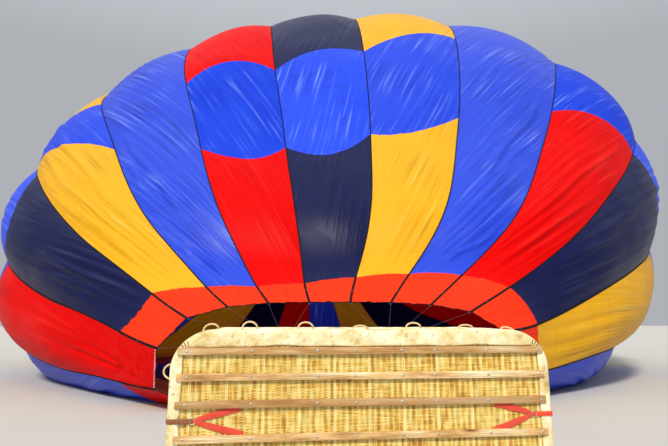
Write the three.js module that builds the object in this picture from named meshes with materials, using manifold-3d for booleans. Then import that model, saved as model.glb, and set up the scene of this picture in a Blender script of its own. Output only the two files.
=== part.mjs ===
// Hot air balloon laid on its side, its fabric half filled with air.
// Millimetres, +Z up. The basket lies on a long wall, so its own upward direction is +Y,
// and the envelope's axis runs from the mouth at the basket to the crown far along +Y.
import * as THREE from 'three';
import { mergeVertices } from 'three/addons/utils/BufferGeometryUtils.js';
import Module from 'manifold-3d';

const wasm = await Module();
wasm.setup();

// Distance kept between solids that touch
const gap = 0.3;

// Basket, lying on the wall at z = 0, with its underside at y = 0
const basketLength = 3240;
const basketWidth = 1450;
const basketRound = 340;
const wallInset = 18;
const wallThick = 30;
const wallTop = 1105;
const skidThick = 28;
const skidWidth = 58;
const skidLength = 3120;
const skidHeights = [180, 380, 587, 850, 1062, 1267];
const flangeTop = 36;
const flangeSide = 100;
const flangeEdge = 145;
const skirtTop = 170;
const floorTop = 58;
const rimRadius = 45;
const partitionTop = 1040;
const pilotHalf = 450;
const partitionThick = 32;
const midHeight = basketWidth / 2;

// Webbing under each end: a ring that joins two legs to the length that goes up the end wall
const strapZ = 728;
const strapRing = 1425;
const strapRadius = 30;
const strapHole = 21;
const strapLegs = [816, 634];
const strapWidth = 46;
const strapThick = 4;
const strapTop = 330;

// Fuel tanks in the pilot's bay
const tankRadius = 140;
const tankLength = 880;
const tankFoot = 105;
const tankCollar = 90;
const tankSide = 288;

// Load frame, gimbal and burners
const frameY = 2150;
const frameX = 600;
const frameZ = 500;
const frameBar = 50;
const gimbalX = 505;
const gimbalZ = 400;
const gimbalBar = 30;
const pinRadius = 10;
const pinHole = 10.8;
const burnerRadius = 130;
const burnerSide = 175;
const burnerFront = 2620;
const blockX = 330;
const blockZ = 120;
const blockThick = 44;
const valveX = 60;
const valveY = 130;
const valveZ = 50;
const burnerNeck = 60;
const burnerWall = 8;
const uprightRadius = 32;
const uprightX = 480;

// Wires from the load frame's lugs to the mouth
const wireWidth = 5;
const linkLength = 90;
const linkWidth = 36;
const linkBar = 8;
const lugThick = 12;
const lugHole = 13;
const lugHalf = 24;
const lugReach = 62;
const linkSeat = 7.5;
const tabLength = 16;
const tabWidth = 7;
const tabThick = 5;

// Envelope
const goreCount = 20;
const skin = 10;
const mouthX = 294;
const mouthY = 4920;
const envelopeYaw = THREE.MathUtils.degToRad(6.5);
// Where the mouth band ends on each seam, from seam 0 on
const bandEdges = [0.030, 0.040, 0.046, 0.048, 0.046, 0.044, 0.042, 0.040, 0.040, 0.040,
  0.040, 0.040, 0.040, 0.040, 0.040, 0.040, 0.038, 0.038, 0.031, 0.026];
// From here to the mouth the panels are pulled ever straighter between their seams
const tautEnd = 0.14;
// A gore that stands out more than the rest, and by how much
const fullGore = 16;
const fullRise = 1.9;
const crownEnd = 0.94;
const paraStart = 0.905;
const paraSkin = 10;
const crownRise = 260;
const crownRing = 150;
const ringThick = 24;
const lineWidth = 44;
const lineThick = 6;

// Cross sections of the half filled envelope, in metres. s runs from the mouth to the crown.
// topV, topZ: the highest point along and above the axis. sideV, sideZ, halfW: the widest point.
// lowV, lowZ: the lowest point. roundUp, roundLow: 2 is an ellipse, more is squarer.
// flat: how far the lower side is pressed on the ground. gore: width of one upper gore.
// turn: how many gores the seams are turned. lean: sideways shift for each unit of height.
// shift: sideways shift of the whole section. spread: gores grow wider to both sides of the top.
// bulge: rise over width. skew: gores grow wider to +X and narrower to -X.
const columns = ['s', 'topV', 'topZ', 'sideV', 'halfW', 'sideZ', 'lowV', 'lowZ', 'roundUp', 'roundLow',
  'flat', 'gore', 'turn', 'lean', 'shift', 'spread', 'bulge', 'skew'];
const stations = [
  [0.00, -0.03, 1.86, -0.23, 3.10, 0.70, 0.0, 0.0, 3.3, 2.9, 0.09, 0.74, -0.205, 0.088, -0.10, -0.011, 0.00, -0.006],
  [0.04, 0.72, 2.37, 0.69, 4.01, 0.98, 0.9, 0.0, 3.8, 3.2, 0.19, 1.03, -0.001, 0.056, -0.23, -0.020, 0.03, -0.008],
  [0.14, 1.73, 4.00, 2.45, 6.41, 2.03, 3.4, 0.0, 3.8, 3.1, 0.24, 1.69, -0.011, 0.062, -0.27, -0.008, 0.09, -0.010],
  [0.26, 3.76, 6.64, 4.27, 8.42, 3.20, 6.3, 0.0, 3.4, 2.8, 0.32, 2.34, -0.166, 0.107, -0.53, 0.004, 0.10, 0.007],
  [0.38, 5.43, 9.66, 6.50, 9.82, 4.40, 9.1, 0.0, 2.9, 2.7, 0.33, 2.83, -0.424, 0.132, -0.56, 0.039, 0.08, 0.036],
  [0.50, 7.95, 12.52, 8.90, 10.53, 4.80, 11.5, 0.0, 2.3, 2.7, 0.30, 3.19, -0.559, 0.104, -0.35, 0.067, 0.08, 0.104],
  [0.62, 11.31, 13.60, 11.45, 10.75, 4.95, 13.6, 0.0, 2.4, 2.7, 0.25, 3.28, -0.540, 0.090, -0.40, 0.080, 0.08, 0.090],
  [0.74, 15.30, 12.70, 14.40, 9.00, 4.80, 15.6, 0.0, 2.0, 2.6, 0.15, 2.50, -0.500, 0.040, -0.90, 0.020, 0.12, 0.000],
  [0.86, 18.00, 10.40, 17.00, 5.60, 5.60, 17.7, 1.0, 2.0, 2.1, 0.00, 1.60, -0.400, 0.030, -1.15, 0.005, 0.10, 0.000],
  [0.94, 18.90, 8.70, 18.50, 2.15, 6.50, 18.6, 4.3, 2.0, 2.0, 0.00, 0.68, -0.300, 0.020, -1.20, 0.000, 0.03, 0.000],
];
// Gores 15 to 6 stand free and keep one width. The eight beneath share what is left of the ring.
const firstUpper = -5;
const lastUpper = 7;
const lowerGores = 8;
// Rows of a gore above the mouth band up to the crown, and columns across it
const goreRows = [0.09, 0.14, 0.20, 0.26, 0.32, 0.38, 0.44, 0.50, 0.56, 0.62, 0.69, 0.76, 0.83,
  paraStart, crownEnd];
const goreColumns = 4;
// Step in s and across a gore for its directions
const smallS = 0.004;
const smallT = 0.02;

const materials = {
  navy: paint(0x1b1d38, 0.75),
  yellow: paint(0xe2a21c, 0.7),
  blue: paint(0x1f3ee0, 0.7),
  red: paint(0xe01414, 0.7),
  orange: paint(0xf2350f, 0.75),
  tape: paint(0x15151a, 0.8),
  wicker: paint(0xd8b45c, 0.8),
  hide: paint(0xe9dcb4, 0.7),
  pine: paint(0xb98f5c, 0.75),
  padding: paint(0x2a2a30, 0.8),
  steel: paint(0xb9bcc0, 0.35, 0.9),
  burner: paint(0x9a9da0, 0.4, 0.9),
  tank: paint(0xc9ccd0, 0.4, 0.85),
  webbing: paint(0xd83a1e, 0.8),
};
// Colour of a gore by its number from the top, in fours
const goreColours = ['navy', 'yellow', 'blue', 'red'];

const up = new THREE.Vector3(0, 1, 0);
const balloon = new THREE.Group();
const ringStore = new Map();

function paint(color, roughness, metalness = 0) {
  return new THREE.MeshStandardMaterial({ color, roughness, metalness });
}

function add(name, geometry, material) {
  const mesh = new THREE.Mesh(geometry, materials[material]);
  mesh.name = name;
  balloon.add(mesh);
}

// Origin below the middle of the object, on the ground
function centre(group) {
  const box = new THREE.Box3().setFromObject(group);
  const middle = box.getCenter(new THREE.Vector3());
  group.children.forEach((mesh) => mesh.position.set(-middle.x, -middle.y, -box.min.z));
}

// Closed mesh from points and triangles
function fromFaces(points, faces) {
  const geometry = new THREE.BufferGeometry();
  geometry.setAttribute('position', new THREE.Float32BufferAttribute(points.flatMap((p) => p.toArray()), 3));
  geometry.setIndex(faces.flat());
  return geometry;
}

function toSolid(geometry) {
  const bare = geometry.clone();
  bare.deleteAttribute('normal');
  bare.deleteAttribute('uv');
  const merged = mergeVertices(bare, 1e-3);
  return new wasm.Manifold(new wasm.Mesh({
    numProp: 3,
    vertProperties: Float32Array.from(merged.attributes.position.array),
    triVerts: Uint32Array.from(merged.index.array),
  }));
}

function fromSolid(solid) {
  const mesh = solid.getMesh();
  const geometry = new THREE.BufferGeometry();
  geometry.setAttribute('position', new THREE.BufferAttribute(mesh.vertProperties, 3));
  geometry.setIndex(new THREE.BufferAttribute(mesh.triVerts, 1));
  return geometry;
}

function join(geometries) {
  return fromSolid(geometries.map(toSolid).reduce((whole, piece) => whole.add(piece)));
}

// Box with its lowest and highest corners
function box(low, high) {
  const size = high.map((value, k) => value - low[k]);
  return new THREE.BoxGeometry(...size).translate(...high.map((value, k) => (value + low[k]) / 2));
}

// Rod between two points, its section a regular polygon
function rod(from, to, radius, sides) {
  const along = to.clone().sub(from);
  const geometry = new THREE.CylinderGeometry(radius, radius, along.length(), sides);
  const turn = new THREE.Quaternion().setFromUnitVectors(up, along.clone().normalize());
  return geometry.applyQuaternion(turn).translate(...from.clone().add(to).multiplyScalar(0.5).toArray());
}

// Flat band along points: width across, thickness to the side that each normal points to
function ribbon(points, normals, width, thick) {
  const corners = [];
  points.forEach((point, k) => {
    const before = points[Math.max(k - 1, 0)];
    const after = points[Math.min(k + 1, points.length - 1)];
    const across = after.clone().sub(before).cross(normals[k]).normalize().multiplyScalar(width / 2);
    const rise = normals[k].clone().multiplyScalar(thick);
    corners.push(point.clone().sub(across), point.clone().add(across));
    corners.push(point.clone().add(across).add(rise), point.clone().sub(across).add(rise));
  });
  const faces = [[0, 1, 2], [0, 2, 3]];
  for (let k = 0; k + 1 < points.length; k += 1) {
    for (let side = 0; side < 4; side += 1) {
      const a = 4 * k + side;
      const b = 4 * k + (side + 1) % 4;
      faces.push([a, a + 4, b], [b, a + 4, b + 4]);
    }
  }
  const last = 4 * (points.length - 1);
  faces.push([last, last + 2, last + 1], [last, last + 3, last + 2]);
  return fromFaces(corners, faces);
}

// Rounded rectangle in x and z, drawn as a shape that is then pushed along y
function roundRect(inset, path = new THREE.Shape()) {
  const x = basketLength / 2 - inset;
  const low = inset;
  const high = basketWidth - inset;
  const r = Math.max(basketRound - inset, 40);
  path.moveTo(-x + r, low);
  path.lineTo(x - r, low);
  path.absarc(x - r, low + r, r, -Math.PI / 2, 0, false);
  path.absarc(x - r, high - r, r, 0, Math.PI / 2, false);
  path.absarc(-x + r, high - r, r, Math.PI / 2, Math.PI, false);
  path.absarc(-x + r, low + r, r, Math.PI, Math.PI * 1.5, false);
  path.closePath();
  return path;
}

// Shape in x and z as a plate between two heights of y
function plate(shape, from, to, curveSegments = 6) {
  const geometry = new THREE.ExtrudeGeometry(shape, { depth: to - from, bevelEnabled: false, curveSegments });
  return geometry.rotateX(Math.PI / 2).translate(0, to, 0);
}

// Cubic through the stations at s, with slopes from the neighbouring stations
function section(s) {
  const x = stations.map((row) => row[0]);
  const k = Math.min(x.filter((value) => value <= s).length - 1, x.length - 2);
  const h = x[k + 1] - x[k];
  const t = (s - x[k]) / h;
  const slope = (i, c) => {
    const low = Math.max(i - 1, 0);
    const high = Math.min(i + 1, x.length - 1);
    const left = i > 0 ? (stations[i][c] - stations[low][c]) / (x[i] - x[low]) : null;
    const right = i < x.length - 1 ? (stations[high][c] - stations[i][c]) / (x[high] - x[i]) : null;
    if (left === null || right === null) return left ?? right;
    const weight = (x[i] - x[low]) / (x[high] - x[low]);
    return left * (1 - weight) + right * weight;
  };
  const ease = 3 * t ** 2 - 2 * t ** 3;
  const blend = [1 - ease, t ** 3 - 2 * t ** 2 + t, ease, t ** 3 - t ** 2];
  return Object.fromEntries(columns.map((name, c) => [name,
    blend[0] * stations[k][c] + blend[1] * h * slope(k, c)
    + blend[2] * stations[k + 1][c] + blend[3] * h * slope(k + 1, c)]));
}

// One cross section as points evenly numbered by angle, with the length along it and its seams
function makeRing(s) {
  const size = section(s);
  const count = 1440;
  const points = [];
  for (let k = 0; k <= count; k += 1) {
    const angle = Math.PI * (2 * k / count - 1);
    const cos = Math.cos(angle);
    const sin = Math.sin(angle);
    const upper = cos >= 0;
    const power = 2 / (upper ? size.roundUp : size.roundLow);
    const reach = upper ? size.topZ - size.sideZ : size.lowZ - size.sideZ * (1 + size.flat);
    const z = Math.max(size.sideZ + reach * Math.abs(cos) ** power, 0);
    const v = size.sideV + ((upper ? size.topV : size.lowV) - size.sideV) * cos ** 2;
    const u = size.halfW * Math.sign(sin) * Math.abs(sin) ** power + size.lean * z + size.shift;
    points.push(new THREE.Vector3(u, v, z).multiplyScalar(1000));
  }
  const length = [0];
  for (let k = 1; k <= count; k += 1) length.push(length[k - 1] + points[k].distanceTo(points[k - 1]));
  const whole = length[count];
  const top = length[count / 2];
  const place = (number) => {
    const q = number - 0.5 + size.turn;
    return (q + size.spread * q * Math.abs(q) / 2 + size.skew * q * q / 2) * size.gore * 1000;
  };
  const seams = new Array(goreCount);
  for (let j = firstUpper; j <= lastUpper; j += 1) seams[(j + goreCount) % goreCount] = top + place(j);
  const low = place(firstUpper) + whole;
  const step = (low - place(lastUpper)) / lowerGores;
  for (let j = 1; j < lowerGores; j += 1) seams[lastUpper + j] = top + place(lastUpper) + j * step;
  return { size, points, length, whole, seams };
}

function pointOn(ring, distance) {
  const d = ((distance % ring.whole) + ring.whole) % ring.whole;
  let low = 0;
  let high = ring.length.length - 1;
  while (high - low > 1) {
    const middle = (low + high) >> 1;
    if (ring.length[middle] <= d) low = middle;
    else high = middle;
  }
  const t = (d - ring.length[low]) / (ring.length[high] - ring.length[low]);
  return ring.points[low].clone().lerp(ring.points[high], t);
}

function ringAt(s) {
  const key = s.toFixed(6);
  if (!ringStore.has(key)) ringStore.set(key, makeRing(s));
  return ringStore.get(key);
}

// Point of a gore's outer face: between two seams, raised along the ring's outward side
function gorePoint(s, gore, t) {
  const ring = ringAt(s);
  const start = ring.seams[(gore + goreCount) % goreCount];
  let end = ring.seams[(gore + 1 + goreCount) % goreCount];
  if (end < start) end += ring.whole;
  const width = end - start;
  const part = Math.min(s / tautEnd, 1);
  const taut = 1 - part * part * (3 - 2 * part);
  const chord = pointOn(ring, start).lerp(pointOn(ring, end), t);
  const point = pointOn(ring, start + t * width).lerp(chord, taut);
  const before = pointOn(ring, start + (t - smallT) * width);
  const after = pointOn(ring, start + (t + smallT) * width);
  const outward = new THREE.Vector3(before.z - after.z, 0, after.x - before.x).normalize();
  const rise = ring.size.bulge * ((gore + goreCount) % goreCount === fullGore ? fullRise : 1);
  point.addScaledVector(outward, 4 * rise * width * t * (1 - t));
  point.z = Math.max(point.z, 0);
  return point;
}

// Outward direction and direction along the gore at a point of its outer face
function frameInside(s, gore, t) {
  const s0 = Math.max(s - smallS, 0);
  const s1 = Math.min(s + smallS, crownEnd);
  const t0 = Math.max(t - smallT, 0);
  const t1 = Math.min(t + smallT, 1);
  const along = gorePoint(s1, gore, t).sub(gorePoint(s0, gore, t)).normalize();
  const across = gorePoint(s, gore, t1).sub(gorePoint(s, gore, t0)).normalize();
  const normal = across.clone().cross(along).normalize();
  return { along, normal };
}

// The same on a seam, shared by the gores on its two sides
function frameSeam(s, seam) {
  const left = frameInside(s, seam - 1, 1);
  const right = frameInside(s, seam, 0);
  const along = left.along.clone().add(right.along).normalize();
  const normal = left.normal.clone().add(right.normal).normalize();
  return { along, normal, across: along.clone().cross(normal).normalize() };
}

// Place and directions of grid point t of a gore at s
function spot(s, gore, t) {
  const onSeam = t === 0 || t === 1;
  const frame = onSeam ? frameSeam(s, gore + t) : frameInside(s, gore, t);
  return { point: gorePoint(s, gore, t), ...frame };
}

// From the envelope's own axes to the object's
function toWorld(point) {
  const cos = Math.cos(envelopeYaw);
  const sin = Math.sin(envelopeYaw);
  const x = mouthX + point.x * cos + point.y * sin;
  const y = mouthY - point.x * sin + point.y * cos;
  return new THREE.Vector3(x, y, point.z);
}

function turnToWorld(direction) {
  const cos = Math.cos(envelopeYaw);
  const sin = Math.sin(envelopeYaw);
  const x = direction.x * cos + direction.y * sin;
  const y = direction.y * cos - direction.x * sin;
  return new THREE.Vector3(x, y, direction.z);
}

// Shell between an outer and an inner grid of points. Round in the second index when closed.
function shell(outer, inner, closed) {
  const rows = outer.length;
  const count = outer[0].length;
  const points = [...outer.flat(), ...inner.flat()].map(toWorld);
  const at = (layer, r, c) => layer * rows * count + r * count + (c % count);
  const faces = [];
  const last = closed ? count : count - 1;
  for (let r = 0; r + 1 < rows; r += 1) {
    for (let c = 0; c < last; c += 1) {
      const [a, b, d, e] = [at(0, r, c), at(0, r, c + 1), at(0, r + 1, c), at(0, r + 1, c + 1)];
      faces.push([a, b, e], [a, e, d]);
      const shiftBy = rows * count;
      faces.push([a + shiftBy, e + shiftBy, b + shiftBy], [a + shiftBy, d + shiftBy, e + shiftBy]);
    }
  }
  for (let c = 0; c < last; c += 1) {
    faces.push([at(0, 0, c), at(1, 0, c), at(1, 0, c + 1)], [at(0, 0, c), at(1, 0, c + 1), at(0, 0, c + 1)]);
    const r = rows - 1;
    faces.push([at(0, r, c), at(1, r, c + 1), at(1, r, c)], [at(0, r, c), at(0, r, c + 1), at(1, r, c + 1)]);
  }
  if (!closed) {
    for (let r = 0; r + 1 < rows; r += 1) {
      const c = count - 1;
      faces.push([at(0, r, 0), at(0, r + 1, 0), at(1, r + 1, 0)]);
      faces.push([at(0, r, 0), at(1, r + 1, 0), at(1, r, 0)]);
      faces.push([at(0, r, c), at(1, r + 1, c), at(0, r + 1, c)]);
      faces.push([at(0, r, c), at(1, r, c), at(1, r + 1, c)]);
    }
  }
  return fromFaces(points, faces);
}

// Where the mouth band ends at t across a gore
function bandEdge(gore, t) {
  return bandEdges[gore] * (1 - t) + bandEdges[(gore + 1) % goreCount] * t;
}

// Gores and the mouth band
function addEnvelope() {
  for (let gore = 0; gore < goreCount; gore += 1) {
    const outer = [];
    const inner = [];
    [null, ...goreRows].forEach((s, row) => {
      const outerRow = [];
      const innerRow = [];
      for (let c = 0; c <= goreColumns; c += 1) {
        const place = spot(s ?? bandEdge(gore, c / goreColumns), gore, c / goreColumns);
        const point = place.point;
        if (row === 0) point.addScaledVector(place.along, gap);
        if (c === 0) point.addScaledVector(place.across, gap);
        if (c === goreColumns) point.addScaledVector(place.across, -gap);
        outerRow.push(point);
        innerRow.push(point.clone().addScaledVector(place.normal, -skin));
      }
      outer.push(outerRow);
      inner.push(innerRow);
    });
    const name = `gore_${String(gore + 1).padStart(2, '0')}`;
    add(name, shell(outer, inner, false), goreColours[gore % 4]);
  }
  const outer = [];
  const inner = [];
  [0, 0.5, 1].forEach((share) => {
    const outerRow = [];
    const innerRow = [];
    for (let gore = 0; gore < goreCount; gore += 1) {
      for (let c = 0; c < goreColumns; c += 1) {
        const place = spot(share * bandEdge(gore, c / goreColumns), gore, c / goreColumns);
        if (share === 1) place.point.addScaledVector(place.along, -gap);
        outerRow.push(place.point);
        innerRow.push(place.point.clone().addScaledVector(place.normal, -skin));
      }
    }
    outer.push(outerRow);
    inner.push(innerRow);
  });
  add('mouth_band', shell(outer, inner, true), 'orange');
}

// Middle of the crown opening and its outward direction, in the envelope's axes
function crownMiddle() {
  const seams = Array.from({ length: goreCount }, (_, gore) => gorePoint(crownEnd, gore, 0));
  const middle = seams.reduce((sum, p) => sum.add(p), new THREE.Vector3()).divideScalar(goreCount);
  return { middle, outward: new THREE.Vector3(0, 1, 0) };
}

// Lines over the crown opening, and the vent panel that closes it from inside
function addCrown() {
  const { middle, outward } = crownMiddle();
  const dome = (edge, share) => {
    const reach = edge.clone().sub(middle);
    const depth = reach.dot(outward);
    reach.addScaledVector(outward, -depth);
    const height = crownRise * (1 - share ** 2) + depth * share ** 2;
    return middle.clone().addScaledVector(reach, share).addScaledVector(outward, height);
  };
  const pieces = [];
  const normal = turnToWorld(outward);
  for (let seam = 0; seam < goreCount; seam += 1) {
    const place = spot(crownEnd, seam, 0);
    const edge = place.point;
    const start = edge.clone().addScaledVector(place.along, 2 * gap).addScaledVector(place.normal, -skin + 2);
    const ringShare = crownRing / edge.distanceTo(middle);
    const points = [start, dome(edge, 0.75), dome(edge, 0.4), dome(edge, ringShare)];
    const normals = [turnToWorld(place.normal), normal, normal, normal];
    pieces.push(ribbon(points.map(toWorld), normals, lineWidth, lineThick));
  }
  const ring = new THREE.Shape().absarc(0, 0, crownRing + 15, 0, Math.PI * 2, false);
  ring.holes.push(new THREE.Path().absarc(0, 0, crownRing - 20, 0, Math.PI * 2, true));
  const disc = new THREE.ExtrudeGeometry(ring, { depth: ringThick, bevelEnabled: false, curveSegments: 20 });
  disc.rotateX(Math.PI / 2).translate(0, ringThick / 2, 0).rotateZ(-envelopeYaw);
  const hub = toWorld(middle.clone().addScaledVector(outward, crownRise));
  pieces.push(disc.translate(hub.x, hub.y, hub.z));
  add('crown_lines', join(pieces), 'tape');
  const outer = [];
  const inner = [];
  const steps = [0, 0.5];
  const offset = skin + 2 * gap;
  const rows = [[paraStart, 1], [crownEnd, 1], [crownEnd, 0.66], [crownEnd, 0.33]];
  rows.forEach(([s, share]) => {
    const outerRow = [];
    for (let gore = 0; gore < goreCount; gore += 1) {
      steps.forEach((t) => {
        const place = spot(s, gore, t);
        const flat = place.point.clone();
        if (share < 1) outerRow.push(dome(flat, share).addScaledVector(outward, -2 * offset));
        else outerRow.push(flat.addScaledVector(place.normal, -offset));
      });
    }
    outer.push(outerRow);
    inner.push(outerRow.map((point, k) => {
      const gore = Math.floor(k / steps.length);
      const place = spot(s, gore, steps[k % steps.length]);
      return point.clone().addScaledVector(share < 1 ? outward : place.normal, -paraSkin);
    }));
  });
  add('parachute_vent', capped(outer, inner, middle.clone().addScaledVector(outward, crownRise - 2 * offset),
    outward), 'navy');
}

// Round shell closed at its middle by a fan on each face
function capped(outer, inner, tip, outward) {
  const rows = outer.length;
  const count = outer[0].length;
  const points = [...outer.flat(), ...inner.flat(), tip, tip.clone().addScaledVector(outward, -paraSkin)];
  const at = (layer, r, c) => layer * rows * count + r * count + (c % count);
  const tips = [points.length - 2, points.length - 1];
  const faces = [];
  for (let c = 0; c < count; c += 1) {
    for (let r = 0; r + 1 < rows; r += 1) {
      faces.push([at(0, r, c), at(0, r, c + 1), at(0, r + 1, c + 1)]);
      faces.push([at(0, r, c), at(0, r + 1, c + 1), at(0, r + 1, c)]);
      faces.push([at(1, r, c), at(1, r + 1, c + 1), at(1, r, c + 1)]);
      faces.push([at(1, r, c), at(1, r + 1, c), at(1, r + 1, c + 1)]);
    }
    faces.push([at(0, 0, c), at(1, 0, c), at(1, 0, c + 1)], [at(0, 0, c), at(1, 0, c + 1), at(0, 0, c + 1)]);
    faces.push([at(0, rows - 1, c), at(0, rows - 1, c + 1), tips[0]]);
    faces.push([at(1, rows - 1, c + 1), at(1, rows - 1, c), tips[1]]);
  }
  return fromFaces(points.map(toWorld), faces);
}

// Floor, wall, hide band round the bottom edge, padded rim and the wooden skids
function addBasket() {
  add('basket_floor', plate(roundRect(wallInset + gap), flangeTop + gap, floorTop), 'wicker');
  const wall = roundRect(wallInset + gap);
  wall.holes.push(roundRect(wallInset + wallThick, new THREE.Path()));
  add('basket_wall', plate(wall, floorTop + gap, wallTop), 'wicker');
  const block = toSolid(plate(roundRect(0), skidThick + gap, skirtTop));
  const bore = toSolid(plate(roundRect(wallInset), flangeTop, skirtTop + 10));
  const x = basketLength / 2 - flangeSide;
  const window = toSolid(box([-x, 0, flangeEdge], [x, skirtTop, basketWidth - flangeEdge]));
  add('base_band', fromSolid(block.subtract(bore).subtract(window)), 'hide');
  add('rim_roll', rimTube(), 'hide');
  skidHeights.forEach((height, k) => {
    const half = skidWidth / 2;
    const low = [-skidLength / 2, 0, height - half];
    add(`skid_${k + 1}`, box(low, [skidLength / 2, skidThick, height + half]), 'pine');
  });
}

// Eight sided roll along the rounded rectangle of the rim, with flats on its top and outer side
function rimTube() {
  const path = roundRect(rimRadius).getPoints(6).slice(0, -1);
  const distinct = path.filter((point, k) => point.distanceTo(path[(k + 1) % path.length]) > 1);
  const sides = 8;
  const reach = rimRadius / Math.cos(Math.PI / sides);
  const middle = wallTop + gap + rimRadius;
  const rings = distinct.map((point, k) => {
    const before = distinct[(k + distinct.length - 1) % distinct.length];
    const after = distinct[(k + 1) % distinct.length];
    const first = point.clone().sub(before).normalize();
    const second = after.clone().sub(point).normalize();
    const along = first.clone().add(second).normalize();
    const stretch = 1 / along.dot(second);
    return Array.from({ length: sides }, (_, side) => {
      const angle = (side + 0.5) * 2 * Math.PI / sides;
      const out = reach * Math.cos(angle) * stretch;
      const y = middle + reach * Math.sin(angle);
      return new THREE.Vector3(point.x + along.y * out, y, point.y - along.x * out);
    });
  });
  const faces = [];
  const at = (k, side) => (k % rings.length) * sides + side % sides;
  rings.forEach((_, k) => {
    for (let side = 0; side < sides; side += 1) {
      faces.push([at(k, side), at(k + 1, side + 1), at(k + 1, side)]);
      faces.push([at(k, side), at(k, side + 1), at(k + 1, side + 1)]);
    }
  });
  return fromFaces(rings.flat(), faces);
}

// Two T shaped walls that divide the basket into the pilot's bay and four bays for passengers
function addPartitions() {
  const low = wallInset + wallThick + gap;
  const high = basketWidth - low;
  const end = basketLength / 2 - low;
  const half = partitionThick / 2;
  ['left', 'right'].forEach((side, k) => {
    const sign = k === 0 ? -1 : 1;
    const outline = [[pilotHalf, low], [pilotHalf + partitionThick, low],
      [pilotHalf + partitionThick, midHeight - half], [end, midHeight - half], [end, midHeight + half],
      [pilotHalf + partitionThick, midHeight + half], [pilotHalf + partitionThick, high], [pilotHalf, high]];
    const shape = new THREE.Shape(outline.map(([x, z]) => new THREE.Vector2(sign * x, z)));
    add(`partition_${side}`, plate(shape, floorTop + gap, partitionTop), 'wicker');
  });
}

// Four fuel tanks that stand on the floor in the corners of the pilot's bay
function addTanks() {
  const wall = wallInset + wallThick + gap;
  const profile = [[0, 0], [tankFoot, 0], [tankFoot, 30], [tankRadius, 75], [tankRadius, tankLength - 90],
    [tankCollar, tankLength - 40], [tankCollar, tankLength], [0, tankLength]];
  const heights = [wall + tankRadius, basketWidth - wall - tankRadius];
  let number = 1;
  heights.forEach((z) => [-tankSide, tankSide].forEach((x) => {
    const tank = new THREE.LatheGeometry(profile.map(([r, y]) => new THREE.Vector2(r, y)), 16);
    add(`tank_${number}`, join([tank.translate(x, floorTop + gap, z)]), 'tank');
    number += 1;
  }));
}

// Webbing that leads from under the two middle skids through a ring to each end wall
function addStraps() {
  const under = new THREE.Vector3(0, -1, 0);
  ['left', 'right'].forEach((side, k) => {
    const sign = k === 0 ? -1 : 1;
    const at = (x, y, z) => new THREE.Vector3(sign * x, y, z);
    const outside = new THREE.Vector3(sign, 0, 0);
    const legY = flangeTop - 1;
    const legs = strapLegs.map((z) => [at(strapRing + 15, legY, strapZ), at(strapRing - 385, legY, z)]);
    const pieces = legs.map((leg) => ribbon(leg, [under, under], strapWidth - 4, strapThick));
    const edge = basketLength / 2 + gap;
    const bend = new THREE.Vector3(sign, -1, 0).normalize();
    const route = [at(strapRing - 25, legY, strapZ), at(strapRing + 75, skidThick, strapZ),
      at(edge, skidThick, strapZ), at(edge, strapTop, strapZ)];
    pieces.push(ribbon(route, [under, under, bend, outside], strapWidth, strapThick));
    const ring = new THREE.Shape().absarc(0, 0, strapRadius, 0, Math.PI * 2, false);
    ring.holes.push(new THREE.Path().absarc(0, 0, strapHole, 0, Math.PI * 2, true));
    pieces.push(plate(ring, legY - 8, legY).translate(sign * strapRing, 0, strapZ));
    add(`strap_${side}`, join(pieces), 'webbing');
  });
}

// Padded poles from the rim to the corners of the load frame, with level ends
function addUprights() {
  const from = wallTop + gap + 2 * rimRadius + gap;
  const to = frameY - frameBar / 2 - gap;
  const sides = 12;
  let number = 1;
  [-1, 1].forEach((level) => [-1, 1].forEach((side) => {
    const foot = [side * uprightX, midHeight + level * (midHeight - rimRadius)];
    const head = [side * frameX, midHeight + level * frameZ];
    const ends = [[foot, from, uprightRadius], [head, to, Math.min(uprightRadius, frameBar / 2)]];
    const points = ends.flatMap(([[x, z], y, radius]) => Array.from({ length: sides }, (_, k) => {
      const angle = k * 2 * Math.PI / sides;
      return new THREE.Vector3(x + radius * Math.cos(angle), y, z + radius * Math.sin(angle));
    }));
    const faces = [];
    for (let k = 0; k < sides; k += 1) {
      const next = (k + 1) % sides;
      faces.push([k, k + sides, next], [next, k + sides, next + sides]);
      if (k > 0 && k < sides - 1) faces.push([0, k, next], [sides, sides + next, sides + k]);
    }
    add(`upright_${number}`, fromFaces(points, faces), 'padding');
    number += 1;
  }));
}

// Rectangle of square bar in x and z about the middle, as one solid
function barFrame(halfX, halfZ, bar) {
  const outer = box([-halfX - bar / 2, frameY - bar / 2, midHeight - halfZ - bar / 2],
    [halfX + bar / 2, frameY + bar / 2, midHeight + halfZ + bar / 2]);
  const inner = box([-halfX + bar / 2, frameY - bar, midHeight - halfZ + bar / 2],
    [halfX - bar / 2, frameY + bar, midHeight + halfZ - bar / 2]);
  return toSolid(outer).subtract(toSolid(inner));
}

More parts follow.
